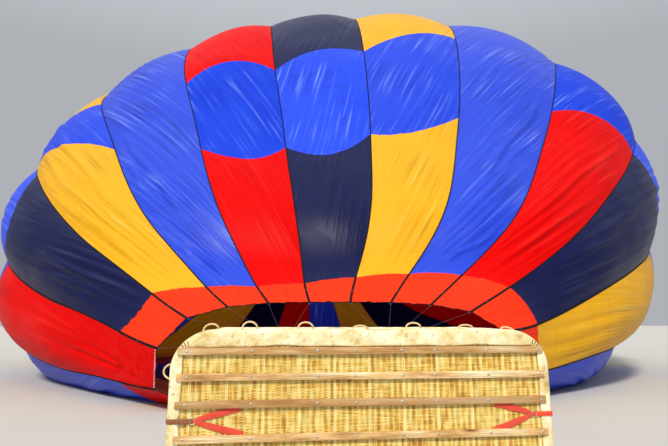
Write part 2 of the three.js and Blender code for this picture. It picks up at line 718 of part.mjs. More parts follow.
// A corner of the load frame, the seams whose wires it holds and the direction of their pull
function wireCorners() {
  const corners = [
    { name: 'wires_upper_left', side: -1, level: 1, seams: [16, 17, 18, 19, 0] },
    { name: 'wires_upper_right', side: 1, level: 1, seams: [1, 2, 3, 4, 5] },
    { name: 'wires_lower_right', side: 1, level: -1, seams: [6, 7, 8, 9, 10] },
    { name: 'wires_lower_left', side: -1, level: -1, seams: [11, 12, 13, 14, 15] },
  ];
  return corners.map((corner) => {
    const place = new THREE.Vector3(corner.side * frameX, frameY, midHeight + corner.level * frameZ);
    const ends = corner.seams.map((seam) => {
      const edge = spot(0, seam, 0);
      const rim = gorePoint(0, seam, smallT).sub(gorePoint(0, seam - 1, 1 - smallT)).normalize();
      const along = edge.along.clone().addScaledVector(rim, -edge.along.dot(rim)).normalize();
      const point = toWorld(edge.point.addScaledVector(edge.normal, -skin / 2));
      return { point, along: turnToWorld(along), side: turnToWorld(rim) };
    });
    const sum = ends.reduce((total, end) => total.add(end.point), new THREE.Vector3());
    const pull = sum.divideScalar(ends.length).sub(place).normalize();
    const across = new THREE.Vector3(0, 0, 1).cross(pull).normalize();
    const rise = pull.clone().cross(across);
    return { ...corner, place, ends, pull, across, rise };
  });
}

// Shape drawn along two directions and given its thickness along the third
function lay(shape, thick, first, second, origin, curveSegments) {
  const geometry = new THREE.ExtrudeGeometry(shape, { depth: thick, bevelEnabled: false, curveSegments });
  geometry.translate(0, 0, -thick / 2);
  const matrix = new THREE.Matrix4().makeBasis(first, second, first.clone().cross(second));
  return geometry.applyMatrix4(matrix.setPosition(origin));
}

// Square bar frame with a lug at each corner and a bore for each gimbal pin
function addLoadFrame() {
  let frame = barFrame(frameX, frameZ, frameBar);
  wireCorners().forEach(({ place, pull, rise }) => {
    const shape = new THREE.Shape();
    shape.moveTo(0, -lugHalf);
    shape.lineTo(lugReach, -lugHalf);
    shape.absarc(lugReach, 0, lugHalf, -Math.PI / 2, Math.PI / 2, false);
    shape.lineTo(0, lugHalf);
    shape.closePath();
    shape.holes.push(new THREE.Path().absarc(lugReach, 0, lugHole, 0, Math.PI * 2, true));
    frame = frame.add(toSolid(lay(shape, lugThick, pull, rise, place, 8)));
  });
  [-1, 1].forEach((side) => {
    const from = new THREE.Vector3(side * (frameX - frameBar), frameY, midHeight);
    const to = new THREE.Vector3(side * (frameX + frameBar), frameY, midHeight);
    frame = frame.subtract(toSolid(rod(from, to, pinHole, 16)));
  });
  add('load_frame', fromSolid(frame), 'steel');
}

// Inner frame that turns about X on pins in the load frame
function addGimbal() {
  let frame = barFrame(gimbalX, gimbalZ, gimbalBar);
  [-1, 1].forEach((side) => {
    const pinFrom = new THREE.Vector3(side * gimbalX, frameY, midHeight);
    const pinTo = new THREE.Vector3(side * (frameX + frameBar / 2), frameY, midHeight);
    frame = frame.add(toSolid(rod(pinFrom, pinTo, pinRadius, 16)));
    const holeFrom = new THREE.Vector3(0, frameY, midHeight + side * (gimbalZ - gimbalBar));
    const holeTo = new THREE.Vector3(0, frameY, midHeight + side * (gimbalZ + gimbalBar));
    frame = frame.subtract(toSolid(rod(holeFrom, holeTo, pinHole, 16)));
  });
  add('gimbal', fromSolid(frame), 'steel');
}

// Block that turns about Z on pins in the gimbal, and its two open burner cans
function addBurners() {
  const half = blockThick / 2;
  const corner = [blockX, frameY + half, midHeight + blockZ];
  const pieces = [box([-blockX, frameY - half, midHeight - blockZ], corner)];
  [-1, 1].forEach((level) => {
    const from = new THREE.Vector3(0, frameY, midHeight + level * (blockZ - 20));
    const to = new THREE.Vector3(0, frameY, midHeight + level * (gimbalZ + gimbalBar / 2));
    pieces.push(rod(from, to, pinRadius, 16));
  });
  [-1, 1].forEach((side) => {
    const low = [side * burnerSide - valveX, frameY - half - valveY, midHeight - valveZ];
    pieces.push(box(low, [side * burnerSide + valveX, frameY, midHeight + valveZ]));
  });
  add('burner_block', join(pieces), 'steel');
  const neck = frameY + half + gap;
  const shoulder = neck + burnerNeck;
  const floor = shoulder + 80;
  const innerRadius = burnerRadius - burnerWall;
  const cup = [[0, neck], [burnerNeck, neck], [burnerNeck, shoulder], [burnerRadius, shoulder + 70],
    [burnerRadius, burnerFront], [innerRadius, burnerFront], [innerRadius, floor], [0, floor]];
  [['left', -1], ['right', 1]].forEach(([name, side]) => {
    const can = new THREE.LatheGeometry(cup.map(([r, y]) => new THREE.Vector2(r, y)), 20);
    add(`burner_${name}`, join([can.translate(side * burnerSide, 0, midHeight)]), 'burner');
  });
}

// Wires fused to their link, which hangs in the lug's hole
function addWires() {
  wireCorners().forEach(({ name, place, ends, pull, across }) => {
    const near = place.clone().addScaledVector(pull, lugReach + linkSeat - linkBar / 2);
    const link = new THREE.Shape([[0, -0.5], [1, -0.5], [1, 0.5], [0, 0.5]]
      .map(([x, y]) => new THREE.Vector2(x * linkLength, y * linkWidth)));
    const inner = [[linkBar, -0.5], [linkLength - linkBar, -0.5], [linkLength - linkBar, 0.5], [linkBar, 0.5]]
      .map(([x, y]) => new THREE.Vector2(x, y * (linkWidth - 2 * linkBar)));
    link.holes.push(new THREE.Path(inner));
    const pieces = [lay(link, linkBar, pull, across, near, 1)];
    const start = near.clone().addScaledVector(pull, linkLength - linkBar / 2);
    ends.forEach(({ point, along, side }) => {
      const eye = point.clone().addScaledVector(along, -4 * gap);
      const tab = new THREE.Shape([[-1, -0.5], [0, -0.5], [0, 0.5], [-1, 0.5]]
        .map(([x, y]) => new THREE.Vector2(x * tabLength, y * tabWidth)));
      pieces.push(lay(tab, tabThick, along, side, eye, 1));
      const end = eye.clone().addScaledVector(along, -tabLength / 2 - 2);
      pieces.push(rod(start, end, wireWidth / 2, 4));
    });
    add(name, join(pieces), 'steel');
  });
}

addEnvelope();
addCrown();
addBasket();
addPartitions();
addTanks();
addStraps();
addUprights();
addLoadFrame();
addGimbal();
addBurners();
addWires();
centre(balloon);

export default balloon;
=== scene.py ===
import functools
import math
import bmesh
import bpy
import numpy as np
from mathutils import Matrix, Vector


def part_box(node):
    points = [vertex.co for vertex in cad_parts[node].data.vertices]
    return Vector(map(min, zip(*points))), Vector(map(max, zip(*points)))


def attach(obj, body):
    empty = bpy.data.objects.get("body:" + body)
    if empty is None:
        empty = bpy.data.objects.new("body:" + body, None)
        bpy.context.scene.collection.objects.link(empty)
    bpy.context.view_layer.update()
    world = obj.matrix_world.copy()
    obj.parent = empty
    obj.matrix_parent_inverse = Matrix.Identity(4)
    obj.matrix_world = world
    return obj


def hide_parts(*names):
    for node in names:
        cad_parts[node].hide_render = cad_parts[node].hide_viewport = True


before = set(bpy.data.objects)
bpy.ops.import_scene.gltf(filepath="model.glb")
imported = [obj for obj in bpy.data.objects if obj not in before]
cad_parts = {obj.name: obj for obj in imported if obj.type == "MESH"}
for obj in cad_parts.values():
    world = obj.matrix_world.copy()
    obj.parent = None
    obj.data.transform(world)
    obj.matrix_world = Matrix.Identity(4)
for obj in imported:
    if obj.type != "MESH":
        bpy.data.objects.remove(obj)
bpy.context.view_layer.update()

# Places in the frame: the basket's middle and underside, from its skids, and its size
skidLow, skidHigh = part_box("skid_1")
middleX = (skidLow.x + skidHigh.x) / 2
undersideY = skidLow.y
bandLow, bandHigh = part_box("base_band")
basketHalf = (bandHigh.x - bandLow.x) / 2
basketHeight = bandHigh.z
basketMiddle = basketHeight / 2

# The photograph's view, measured from the basket's underside
photoView = {"side": -0.785, "back": 4.42, "height": 1.50, "yaw": 6.5, "pitch": 10.9, "lens": 27.81}

studio = {
    "floorSize": 400.0,
    "sunTurn": -22.0,     # degrees to the right of straight behind the camera
    "sunHeight": 44.0,    # degrees above the horizon
    "sunSoft": 9.0,       # the sun's width in degrees
    "sunPower": 3.25,
    "skyPower": 0.52,
    "topPower": 1.15,
}


def hexColour(code):
    # sRGB hex to linear: each channel is divided by 12.92 when dark, else raised to 2.4
    parts = [int(code[k:k + 2], 16) / 255 for k in (1, 3, 5)]
    return (*[p / 12.92 if p <= 0.04045 else ((p + 0.055) / 1.055) ** 2.4 for p in parts], 1.0)


def addNode(tree, kind, sockets=None, stops=(), **settings):
    # Adds a shader node. A socket takes a number, a hex colour, another node or one of its outputs,
    # and stops are a ramp's places and hex colours
    node = tree.nodes.new("ShaderNode" + kind)
    for name, value in settings.items():
        setattr(node, name, value)
    for name, value in (sockets or {}).items():
        if isinstance(value, bpy.types.Node):
            value = next(output for output in value.outputs if output.enabled)
        if isinstance(value, bpy.types.NodeSocket):
            tree.links.new(value, node.inputs[name])
        else:
            node.inputs[name].default_value = hexColour(value) if isinstance(value, str) else value
    if stops:
        elements = node.color_ramp.elements
        elements[0].position, elements[1].position = stops[0][0], stops[-1][0]
        for place, code in stops[1:-1]:
            elements.new(place)
        for element, (place, code) in zip(elements, stops):
            element.color = hexColour(code)
    return node


def newMaterial(name):
    # An empty material, and the function that adds its nodes
    material = bpy.data.materials.new(name)
    material.use_nodes = True
    material.node_tree.nodes.clear()
    return material, functools.partial(addNode, material.node_tree)


# Meshes


def places(*values):
    # Points from their coordinates, each a number, a row or a grid
    return np.stack(np.broadcast_arrays(*values), axis=-1)


def unit(vectors):
    return vectors / (np.linalg.norm(vectors, axis=-1, keepdims=True) + 1e-12)


def lengths(points, axis):
    # Length from the start of a row or column of points to each of them
    steps = np.linalg.norm(np.diff(points, axis=axis), axis=-1)
    return np.insert(np.cumsum(steps, axis=axis), 0, 0, axis=axis)


def gridPart(points, ring=False, flip=False, around=False):
    # A part from a grid of points, rows by columns by three. Corner numbers run along the columns
    # first. A ring joins the last column to the first, around joins the last row to the first
    rows, columns = points.shape[:2]
    r, c = np.meshgrid(np.arange(rows - (not around)), np.arange(columns - (not ring)), indexing="ij")
    corners = [(r, c), (r, c + 1), (r + 1, c + 1), (r + 1, c)]
    if flip:
        corners.reverse()
    quads = np.stack([a % rows * columns + b % columns for a, b in corners], axis=-1)
    cells = np.stack([np.stack(corner, axis=-1) for corner in corners], axis=-2)
    return {"points": points.reshape(-1, 3), "quads": quads.reshape(-1, 4), "tris": np.zeros((0, 3), int),
            "cells": cells.reshape(-1, 2)}


def merged(parts):
    # Parts joined into one, with corner numbers moved up by the points before them
    starts = np.cumsum([0] + [len(part["points"]) for part in parts[:-1]])
    joined = {"points": np.concatenate([part["points"] for part in parts])}
    for kind in ("quads", "tris"):
        joined[kind] = np.concatenate([part[kind] + start for part, start in zip(parts, starts)])
    return joined


def sweep(path, profile, up, ring=False, wide=1.0, high=1.0):
    # A profile carried along a path: side is the path's direction crossed with up, so that a profile
    # point (a, b) lies at path + a wide side + b high up. Open paths are closed by fans at both ends
    if ring:
        along = unit(np.roll(path, -1, axis=0) - np.roll(path, 1, axis=0))
    else:
        along = unit(np.gradient(path, axis=0))
    side = unit(np.cross(along, np.broadcast_to(up, path.shape)))
    rise = np.cross(side, along)
    wide, high = [np.broadcast_to(size, len(path))[:, None, None] for size in (wide, high)]
    points = path[:, None] + side[:, None] * (profile[..., :1] * wide)
    points = points + rise[:, None] * (profile[..., 1:] * high)
    part = gridPart(points, ring=True, around=ring)
    if ring:
        return part
    rows, columns = points.shape[:2]
    k = np.arange(columns)
    after = (k + 1) % columns
    first = np.stack([np.full(columns, rows * columns), after, k], axis=1)
    last = np.stack([np.full(columns, rows * columns + 1), k, after], axis=1)
    last[:, 1:] += (rows - 1) * columns
    part["points"] = np.concatenate([part["points"], points[[0, -1]].mean(axis=1)])
    part["tris"] = np.concatenate([first, last])
    return part


def circle(radius, count):
    # Round profile, turning so that a sweep's faces point outwards
    angle = -2 * np.pi * np.arange(count) / count
    return places(radius * np.cos(angle), radius * np.sin(angle))


def roundBar(halfWide, halfHigh, radius):
    # Rectangle with round corners: each corner is an arc of the given radius
    angle = np.linspace(0, np.pi / 2, 3)
    corners = []
    for k, (a, b) in enumerate([(1, 1), (-1, 1), (-1, -1), (1, -1)]):
        turn = angle + k * np.pi / 2
        corners.append(places(a * (halfWide - radius) + radius * np.cos(turn),
                              b * (halfHigh - radius) + radius * np.sin(turn)))
    return np.concatenate(corners)[::-1]


def lathe(profile, origin, axis, count):
    # Profile points (radius, height) turned about an axis. Ends of zero radius close the shape
    axis = np.asarray(axis, float)
    first = unit(np.cross(axis, (0, 0, 1.0) if abs(axis[2]) < 0.9 else (1.0, 0, 0)))
    angle = 2 * np.pi * np.arange(count)[:, None] / count
    around = np.cos(angle) * first + np.sin(angle) * np.cross(axis, first)
    radius, height = np.array(profile, float).T[..., None, None]
    return gridPart(np.asarray(origin) + radius * around + height * axis, ring=True)


def weldMesh(mesh):
    # Merges poles and drops faces without area
    work = bmesh.new()
    work.from_mesh(mesh)
    bmesh.ops.remove_doubles(work, verts=work.verts, dist=1e-6)
    bmesh.ops.dissolve_degenerate(work, edges=work.edges, dist=1e-7)
    work.to_mesh(mesh)
    work.free()


def addPiece(name, part, material, slot, replaced=(), body="root", uvs=None, fields=None, sharp=40,
             weld=False):
    # Makes the object, gives it its material and ties it to its body. Uvs are named values for each corner
    # and fields for each point. Edges above the angle sharp are kept sharp
    mesh = bpy.data.meshes.new(name)
    points, quads, tris = part["points"], part["quads"], part["tris"]
    mesh.vertices.add(len(points))
    mesh.vertices.foreach_set("co", points.astype(np.float32).ravel())
    mesh.loops.add(quads.size + tris.size)
    mesh.loops.foreach_set("vertex_index", np.concatenate([quads.ravel(), tris.ravel()]).astype(np.int32))
    mesh.polygons.add(len(quads) + len(tris))
    starts = np.concatenate([np.arange(len(quads)) * 4, quads.size + np.arange(len(tris)) * 3])
    mesh.polygons.foreach_set("loop_start", starts.astype(np.int32))
    mesh.polygons.foreach_set("use_smooth", np.ones(len(starts), dtype=bool))
    for label, values in (uvs or {}).items():
        mesh.uv_layers.new(name=label).uv.foreach_set("vector", values.astype(np.float32).ravel())
    for label, values in (fields or {}).items():
        field = mesh.attributes.new(label, "FLOAT", "POINT")
        field.data.foreach_set("value", values.astype(np.float32).ravel())
    mesh.update(calc_edges=True)
    if weld:
        weldMesh(mesh)
    if sharp:
        mesh.set_sharp_from_angle(angle=math.radians(sharp))
    mesh.materials.append(material)
    piece = bpy.data.objects.new(name, mesh)
    bpy.context.scene.collection.objects.link(piece)
    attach(piece, body)
    if replaced:
        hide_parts(*replaced)
    return piece


# Camera, floor and light


def placeCamera():
    data = bpy.data.cameras.new("photoCamera")
    data.lens = photoView["lens"]
    data.sensor_width = 36
    data.clip_end = 1000
    camera = bpy.data.objects.new("photoCamera", data)
    camera.location = (middleX + photoView["side"], undersideY - photoView["back"], photoView["height"])
    camera.rotation_euler = (math.radians(90 + photoView["pitch"]), 0, -math.radians(photoView["yaw"]))
    bpy.context.scene.collection.objects.link(camera)
    bpy.context.scene.camera = camera


def layFloor():
    # Matt pale studio floor
    edge = np.linspace(-studio["floorSize"] / 2, studio["floorSize"] / 2, 9)
    part = gridPart(places(edge[None], edge[:, None], 0.0))
    mesh = bpy.data.meshes.new("floor")
    mesh.from_pydata(part["points"].tolist(), [], part["quads"].tolist())
    floor = bpy.data.objects.new("floor", mesh)
    bpy.context.scene.collection.objects.link(floor)
    material, add = newMaterial("matt pale floor")
    coords = add("TexCoord").outputs["Object"]
    cloud = add("TexNoise", {"Vector": coords, "Scale": 0.3, "Detail": 2.0})
    tone = add("Mix", {0: cloud, 6: "#b9b8b3", 7: "#c1c0bc"}, data_type="RGBA")
    shader = add("BsdfPrincipled", {"Base Color": tone, "Roughness": 0.95})
    add("OutputMaterial", {"Surface": shader})
    mesh.materials.append(material)


def lightStudio():
    # Soft even light that grows overhead, and a soft sun
    world = bpy.data.worlds.new("studio")
    world.use_nodes = True
    tree = world.node_tree
    tree.nodes.clear()
    add = functools.partial(addNode, tree)
    height = add("SeparateXYZ", {0: add("TexCoord").outputs["Generated"]})
    power = add("MapRange", {"Value": height.outputs["Z"], "From Min": 0.45, "From Max": 0.95,
                             "To Min": studio["skyPower"], "To Max": studio["topPower"]})
    background = add("Background", {"Color": "#e9eef5", "Strength": power})
    add("OutputWorld", {"Surface": background})
    bpy.context.scene.world = world
    data = bpy.data.lights.new("key", "SUN")
    data.energy = studio["sunPower"]
    data.angle = math.radians(studio["sunSoft"])
    data.color = hexColour("#fff6e6")[:3]
    key = bpy.data.objects.new("key", data)
    key.rotation_euler = (math.radians(90 - studio["sunHeight"]), 0, math.radians(studio["sunTurn"]))
    key.location = (6, -18, 14)
    bpy.context.scene.collection.objects.link(key)
    bpy.context.scene.view_settings.view_transform = "Standard"


placeCamera()
layFloor()
lightStudio()
print("camera, floor and light")


# Plain finishes: two tones in cloudy patches, the patches' scale and detail, the bump's strength and depth in
# metres, roughness and IOR. Patterns too fine to show are drawn coarser than real: tape ribs at 12 mm
# for 2 mm
finishColumns = ("low", "high", "scale", "detail", "strength", "depth", "rough", "shine")
finishes = {
    "black polyester tape": ("#08080c", "#16161c", 80, 2, 0.4, 0.002, 0.8, 1.25),       # woven and dull
    "peeled willow rod": ("#f4e294", "#e2bc54", 14, 3, 0.3, 0.001, 0.45, 1.5),           # smooth and waxy
    "peeled willow rod pale": ("#fcf0bd", "#f4e294", 14, 3, 0.3, 0.001, 0.45, 1.5),
    "laid sisal rope": ("#bc9d62", "#f3e4b8", 160, 3, 0.5, 0.001, 0.8, 1.4),             # dull fibres
    "white polyester cord": ("#c9c9c4", "#f4f4f0", 160, 3, 0.5, 0.001, 0.8, 1.4),
    "brown harness leather": ("#74401f", "#a06038", 18, 4, 0.25, 0.0005, 0.55, 1.5),     # worn paler
    "dark lacing leather": ("#3a2412", "#5a3c1e", 18, 4, 0.25, 0.0005, 0.55, 1.5),
    "salmon red webbing": ("#e65a44", "#c93c2c", 12, 3, 0.4, 0.001, 0.75, 1.4),          # faded, ribs across
    "bright red webbing": ("#f25a3c", "#dd3a24", 12, 3, 0.4, 0.001, 0.75, 1.4),
    "padded nylon cover": ("#1d1d21", "#2c2c31", 1, 3, 0.5, 0.004, 0.6, 1.5),            # wrinkled
    "zinc plated steel": ("#eceadf", "#8d9094", 30, 4, 0.15, 0.0005, 0.42, 1.5),         # small smudges
    "brushed stainless steel": ("#d4d6d8", "#8d9094", 30, 4, 0.15, 0.0005, 0.30, 1.5),
    "brushed aluminium": ("#c3c6ca", "#8d9094", 30, 4, 0.15, 0.0005, 0.34, 1.5),
    "worn brass": ("#b98f4a", "#8d9094", 30, 4, 0.15, 0.0005, 0.32, 1.5),
    "stainless burner can": ("#c4c2bd", "#8d9094", 30, 4, 0.15, 0.0005, 0.30, 1.5),
    "heat stained steel pipe": ("#a98a64", "#8d9094", 30, 4, 0.15, 0.0005, 0.36, 1.5),
    "dull stranded steel wire": ("#3a3a3c", "#8d9094", 30, 4, 0.15, 0.0005, 0.55, 1.5),
}


def plainMaterial(name, pattern=None, metal=False, stretch=None):
    # Pattern is the texture that the bump reads in place of the patches: leather's pores 2 mm apart or
    # webbing's ribs 3 mm apart. On metal the patches change the roughness too
    look = dict(zip(finishColumns, finishes[name]))
    material, add = newMaterial(name)
    coords = add("TexCoord").outputs["Object"]
    spread = add("Mapping", {"Vector": coords, "Scale": stretch}) if stretch else coords
    cloud = add("TexNoise", {"Vector": spread, "Scale": look["scale"], "Detail": look["detail"]})
    colour = add("Mix", {0: cloud, 6: look["low"], 7: look["high"]}, data_type="RGBA")
    height, rough, metallic = cloud, look["rough"], float(metal)
    if metal:
        rough = add("MapRange", {0: cloud, 1: 0.3, 2: 0.7, 3: rough - 0.08, 4: rough + 0.12})
    if pattern == "pores":
        height = add("TexVoronoi", {"Vector": coords, "Scale": 420.0}).outputs["Distance"]
    if pattern == "ribs":
        height = add("TexWave", {"Vector": coords, "Scale": 100.0, "Distortion": 1.0}).outputs["Fac"]
    bump = add("Bump", {"Strength": look["strength"], "Distance": look["depth"], "Height": height})
    shader = add("BsdfPrincipled", {"Base Color": colour, "Roughness": rough, "IOR": look["shine"],
                                    "Metallic": metallic, "Normal": bump})
    add("OutputMaterial", {"Surface": shader})
    return material


blackTape = plainMaterial("black polyester tape")
goldWillow = plainMaterial("peeled willow rod")
paleWillow = plainMaterial("peeled willow rod pale")
sisal = plainMaterial("laid sisal rope")
whiteCord = plainMaterial("white polyester cord")
brownLeather = plainMaterial("brown harness leather", "pores")
darkLeather = plainMaterial("dark lacing leather", "pores")
salmonWebbing = plainMaterial("salmon red webbing", "ribs")
redWebbing = plainMaterial("bright red webbing", "ribs")
paddedCover = plainMaterial("padded nylon cover", stretch=(12.0, 40.0, 12.0))
zincSteel = plainMaterial("zinc plated steel", metal=True)
brushedSteel = plainMaterial("brushed stainless steel", metal=True)
tankAluminium = plainMaterial("brushed aluminium", metal=True)
brass = plainMaterial("worn brass", metal=True)
burnerSteel = plainMaterial("stainless burner can", metal=True)
heatedSteel = plainMaterial("heat stained steel pipe", metal=True)
darkWire = plainMaterial("dull stranded steel wire", metal=True)


# The envelope's surface, in its own axes: u across, v from the mouth to the crown, z up

envelope = {
    "gores": 20,
    "mouth": (0.294, 4.92),
    "yaw": 6.5,
    "bandSag": {16: 0.005},      # how far the mouth band's end bows towards the mouth across a gore
    # Where the mouth band ends on each seam
    "bandEdges": [0.030, 0.040, 0.046, 0.048, 0.046, 0.044, 0.042, 0.040, 0.040, 0.040,
                  0.040, 0.040, 0.040, 0.040, 0.040, 0.040, 0.038, 0.038, 0.031, 0.026],
    "tautEnd": 0.14,          # where the panels stop being pulled straight
    "fuller": {16: 1.9},      # gores that stand out more than the rest
    "paraStart": 0.905,       # s where the vent starts
    "crownEnd": 0.94,         # s where the gores end
    "crownRise": 0.26,        # how far the crown's dome rises, in metres
    "crownRing": 0.15,        # radius of the crown ring
    "firstUpper": -5,         # first and last of the seams that are placed from the top
    "lastUpper": 7,
    "lowerGores": 8,          # how many gores share what is left of the ring below
    "ringCount": 1440,        # steps round each section
}
# Cross sections from the mouth to the crown, in metres: where the highest, the widest and the lowest point
# lie, how round the upper and the lower half are, how flat it lies, a gore's width at the top, and how the
# gores are turned, shifted, spread and raised there
sectionNames = ("s", "topV", "topZ", "sideV", "halfW", "sideZ", "lowV", "lowZ", "roundUp", "roundLow",
                "flat", "gore", "turn", "lean", "shift", "spread", "bulge", "skew")
stations = np.array([
    [0.00, -0.03, 1.86, -0.23, 3.10, 0.70, 0.0, 0.0, 3.3, 2.9,
     0.09, 0.74, -0.205, 0.088, -0.10, -0.011, 0.00, -0.006],
    [0.04, 0.72, 2.37, 0.69, 4.01, 0.98, 0.9, 0.0, 3.8, 3.2,
     0.19, 1.03, -0.001, 0.056, -0.23, -0.020, 0.03, -0.008],
    [0.14, 1.73, 4.00, 2.45, 6.41, 2.03, 3.4, 0.0, 3.8, 3.1,
     0.24, 1.69, -0.011, 0.062, -0.27, -0.008, 0.09, -0.010],
    [0.26, 3.76, 6.64, 4.27, 8.42, 3.20, 6.3, 0.0, 3.4, 2.8,
     0.32, 2.34, -0.166, 0.107, -0.53, 0.004, 0.10, 0.007],
    [0.38, 5.43, 9.66, 6.50, 9.82, 4.40, 9.1, 0.0, 2.9, 2.7,
     0.33, 2.83, -0.424, 0.132, -0.56, 0.039, 0.08, 0.036],
    [0.50, 7.95, 12.52, 8.90, 10.53, 4.80, 11.5, 0.0, 2.3, 2.7,
     0.30, 3.19, -0.559, 0.104, -0.35, 0.067, 0.08, 0.104],
    [0.62, 11.31, 13.60, 11.45, 10.75, 4.95, 13.6, 0.0, 2.4, 2.7,
     0.25, 3.28, -0.540, 0.090, -0.40, 0.080, 0.08, 0.090],
    [0.74, 15.30, 12.70, 14.40, 9.00, 4.80, 15.6, 0.0, 2.0, 2.6,
     0.15, 2.50, -0.500, 0.040, -0.90, 0.020, 0.12, 0.000],
    [0.86, 18.00, 10.40, 17.00, 5.60, 5.60, 17.7, 1.0, 2.0, 2.1,
     0.00, 1.60, -0.400, 0.030, -1.15, 0.005, 0.10, 0.000],
    [0.94, 18.90, 8.70, 18.50, 2.15, 6.50, 18.6, 4.3, 2.0, 2.0,
     0.00, 0.68, -0.300, 0.020, -1.20, 0.000, 0.03, 0.000],
])


def makeRings(s):
    # Cross sections at s. Each value is a cubic through the stations. Over the angle, height follows a
    # power of the cosine from the widest point to the highest or lowest, and width a power of the sine
    x = stations[:, 0]
    slope = np.gradient(stations, x, axis=0)
    k = np.clip(np.searchsorted(x, s, side="right") - 1, 0, len(x) - 2)
    h = (x[k + 1] - x[k])[:, None]
    t = (s - x[k])[:, None] / h
    ease = 3 * t ** 2 - 2 * t ** 3
    rows = (1 - ease) * stations[k] + ease * stations[k + 1]
    rows += h * ((t ** 3 - 2 * t ** 2 + t) * slope[k] + (t ** 3 - t ** 2) * slope[k + 1])
    size = {name: rows[:, c, None] for c, name in enumerate(sectionNames)}
    angle = np.pi * (2 * np.arange(envelope["ringCount"] + 1) / envelope["ringCount"] - 1)[None]
    cos, sin = np.cos(angle), np.sin(angle)
    upper = cos >= 0
    power = 2 / np.where(upper, size["roundUp"], size["roundLow"])
    reach = np.where(upper, size["topZ"] - size["sideZ"], size["lowZ"] - size["sideZ"] * (1 + size["flat"]))
    z = np.maximum(size["sideZ"] + reach * np.abs(cos) ** power, 0)
    v = size["sideV"] + (np.where(upper, size["topV"], size["lowV"]) - size["sideV"]) * cos ** 2
    u = size["halfW"] * np.sign(sin) * np.abs(sin) ** power + size["lean"] * z + size["shift"]
    points = places(u, v, z)
    length = lengths(points, 1)
    whole, top = length[:, -1], length[:, envelope["ringCount"] // 2]
    first, last, count = envelope["firstUpper"], envelope["lastUpper"], envelope["gores"]

    def place(number):
        q = number - 0.5 + size["turn"][:, 0]
        wider = size["spread"][:, 0] * q * np.abs(q) / 2 + size["skew"][:, 0] * q * q / 2
        return (q + wider) * size["gore"][:, 0]

    seams = np.empty((len(s), count))
    for j in range(first, last + 1):
        seams[:, j % count] = top + place(j)
    step = (place(first) + whole - place(last)) / envelope["lowerGores"]
    for j in range(1, envelope["lowerGores"]):
        seams[:, last + j] = top + place(last) + j * step
    # The length round the ring from each seam to the next
    after = np.roll(seams, -1, axis=1)
    width = np.where(after < seams, after + whole[:, None], after) - seams
    return {"s": s, "size": size, "points": points, "length": length, "whole": whole, "seams": seams,
            "width": width}


def ringPoints(rings, distance):
    # Points at given lengths round each ring. All rings are read at once, each moved to its own range
    span = rings["whole"].max() * 1.01
    base = (np.arange(len(rings["s"])) * span)[:, None]
    known = (rings["length"] + base).ravel()
    asked = (distance % rings["whole"][:, None] + base).ravel()
    found = [np.interp(asked, known, rings["points"][..., k].ravel()) for k in range(3)]
    return places(*found).reshape(*distance.shape, 3)


def gorePoints(rings, gore, t):
    # Outer face of a gore at fractions t across it: the ring's own point, raised by a parabola. Towards
    # the mouth it turns, as a smooth step of s, into the straight line between the seams
    gore = gore % envelope["gores"]
    start, width = rings["seams"][:, gore, None], rings["width"][:, gore, None]
    t = np.broadcast_to(t, (len(start), np.shape(t)[-1]))
    points = ringPoints(rings, start + t * width)
    small = 0.02
    across = ringPoints(rings, start + (t + small) * width) - ringPoints(rings, start + (t - small) * width)
    outward = unit(places(-across[..., 2], 0.0, across[..., 0]))
    part = np.minimum(rings["s"] / envelope["tautEnd"], 1)
    taut = (1 - part * part * (3 - 2 * part))[:, None, None]
    ends = ringPoints(rings, start + np.array([[0, 1]]) * width)
    points += (ends[:, :1] + (ends[:, 1:] - ends[:, :1]) * t[..., None] - points) * taut
    bulge = rings["size"]["bulge"] * envelope["fuller"].get(gore, 1)
    points = points + outward * (4 * bulge * width * t * (1 - t))[..., None]
    points[..., 2] = np.maximum(points[..., 2], 0)
    return points


def bandEdge(gore, t):
    # Where the mouth band ends at t across a gore: straight between its values on the two seams, less the
    # gore's sag times 4 t (1 - t)
    edges = envelope["bandEdges"]
    count = envelope["gores"]
    sag = envelope["bandSag"].get(gore % count, 0)
    return edges[gore % count] * (1 - t) + edges[(gore + 1) % count] * t - sag * 4 * t * (1 - t)


def atS(rings, points, s):
    # A grid of points read at another s for each of them, straight between the two rings beside it
    k = np.clip(np.searchsorted(rings["s"], s, side="right") - 1, 0, len(rings["s"]) - 2)
    share = ((s - rings["s"][k]) / (rings["s"][k + 1] - rings["s"][k]))[..., None]
    column = np.arange(points.shape[1])[None]
    return points[k, column] * (1 - share) + points[k + 1, column] * share


def toFrame(points):
    # From the envelope's axes to the frame: a turn about the vertical and a shift to the mouth
    turn = math.radians(envelope["yaw"])
    x = envelope["mouth"][0] + points[..., 0] * math.cos(turn) + points[..., 1] * math.sin(turn)
    y = envelope["mouth"][1] - points[..., 0] * math.sin(turn) + points[..., 1] * math.cos(turn)
    return places(x + middleX, y + undersideY, points[..., 2])


def gridNormals(points):
    # Unit normals of a grid: the direction across crossed with the direction along
    return unit(np.cross(np.gradient(points, axis=1), np.gradient(points, axis=0)))


def gridArea(points):
    # Area of a grid: half the cross product of each cell's two diagonals
    cross = np.cross(points[1:, 1:] - points[:-1, :-1], points[1:, :-1] - points[:-1, 1:])
    return float(np.linalg.norm(cross, axis=-1).sum() / 2)


# Fabric. The coloured bands' edges lie at these values of s on each seam, from seam 0 on

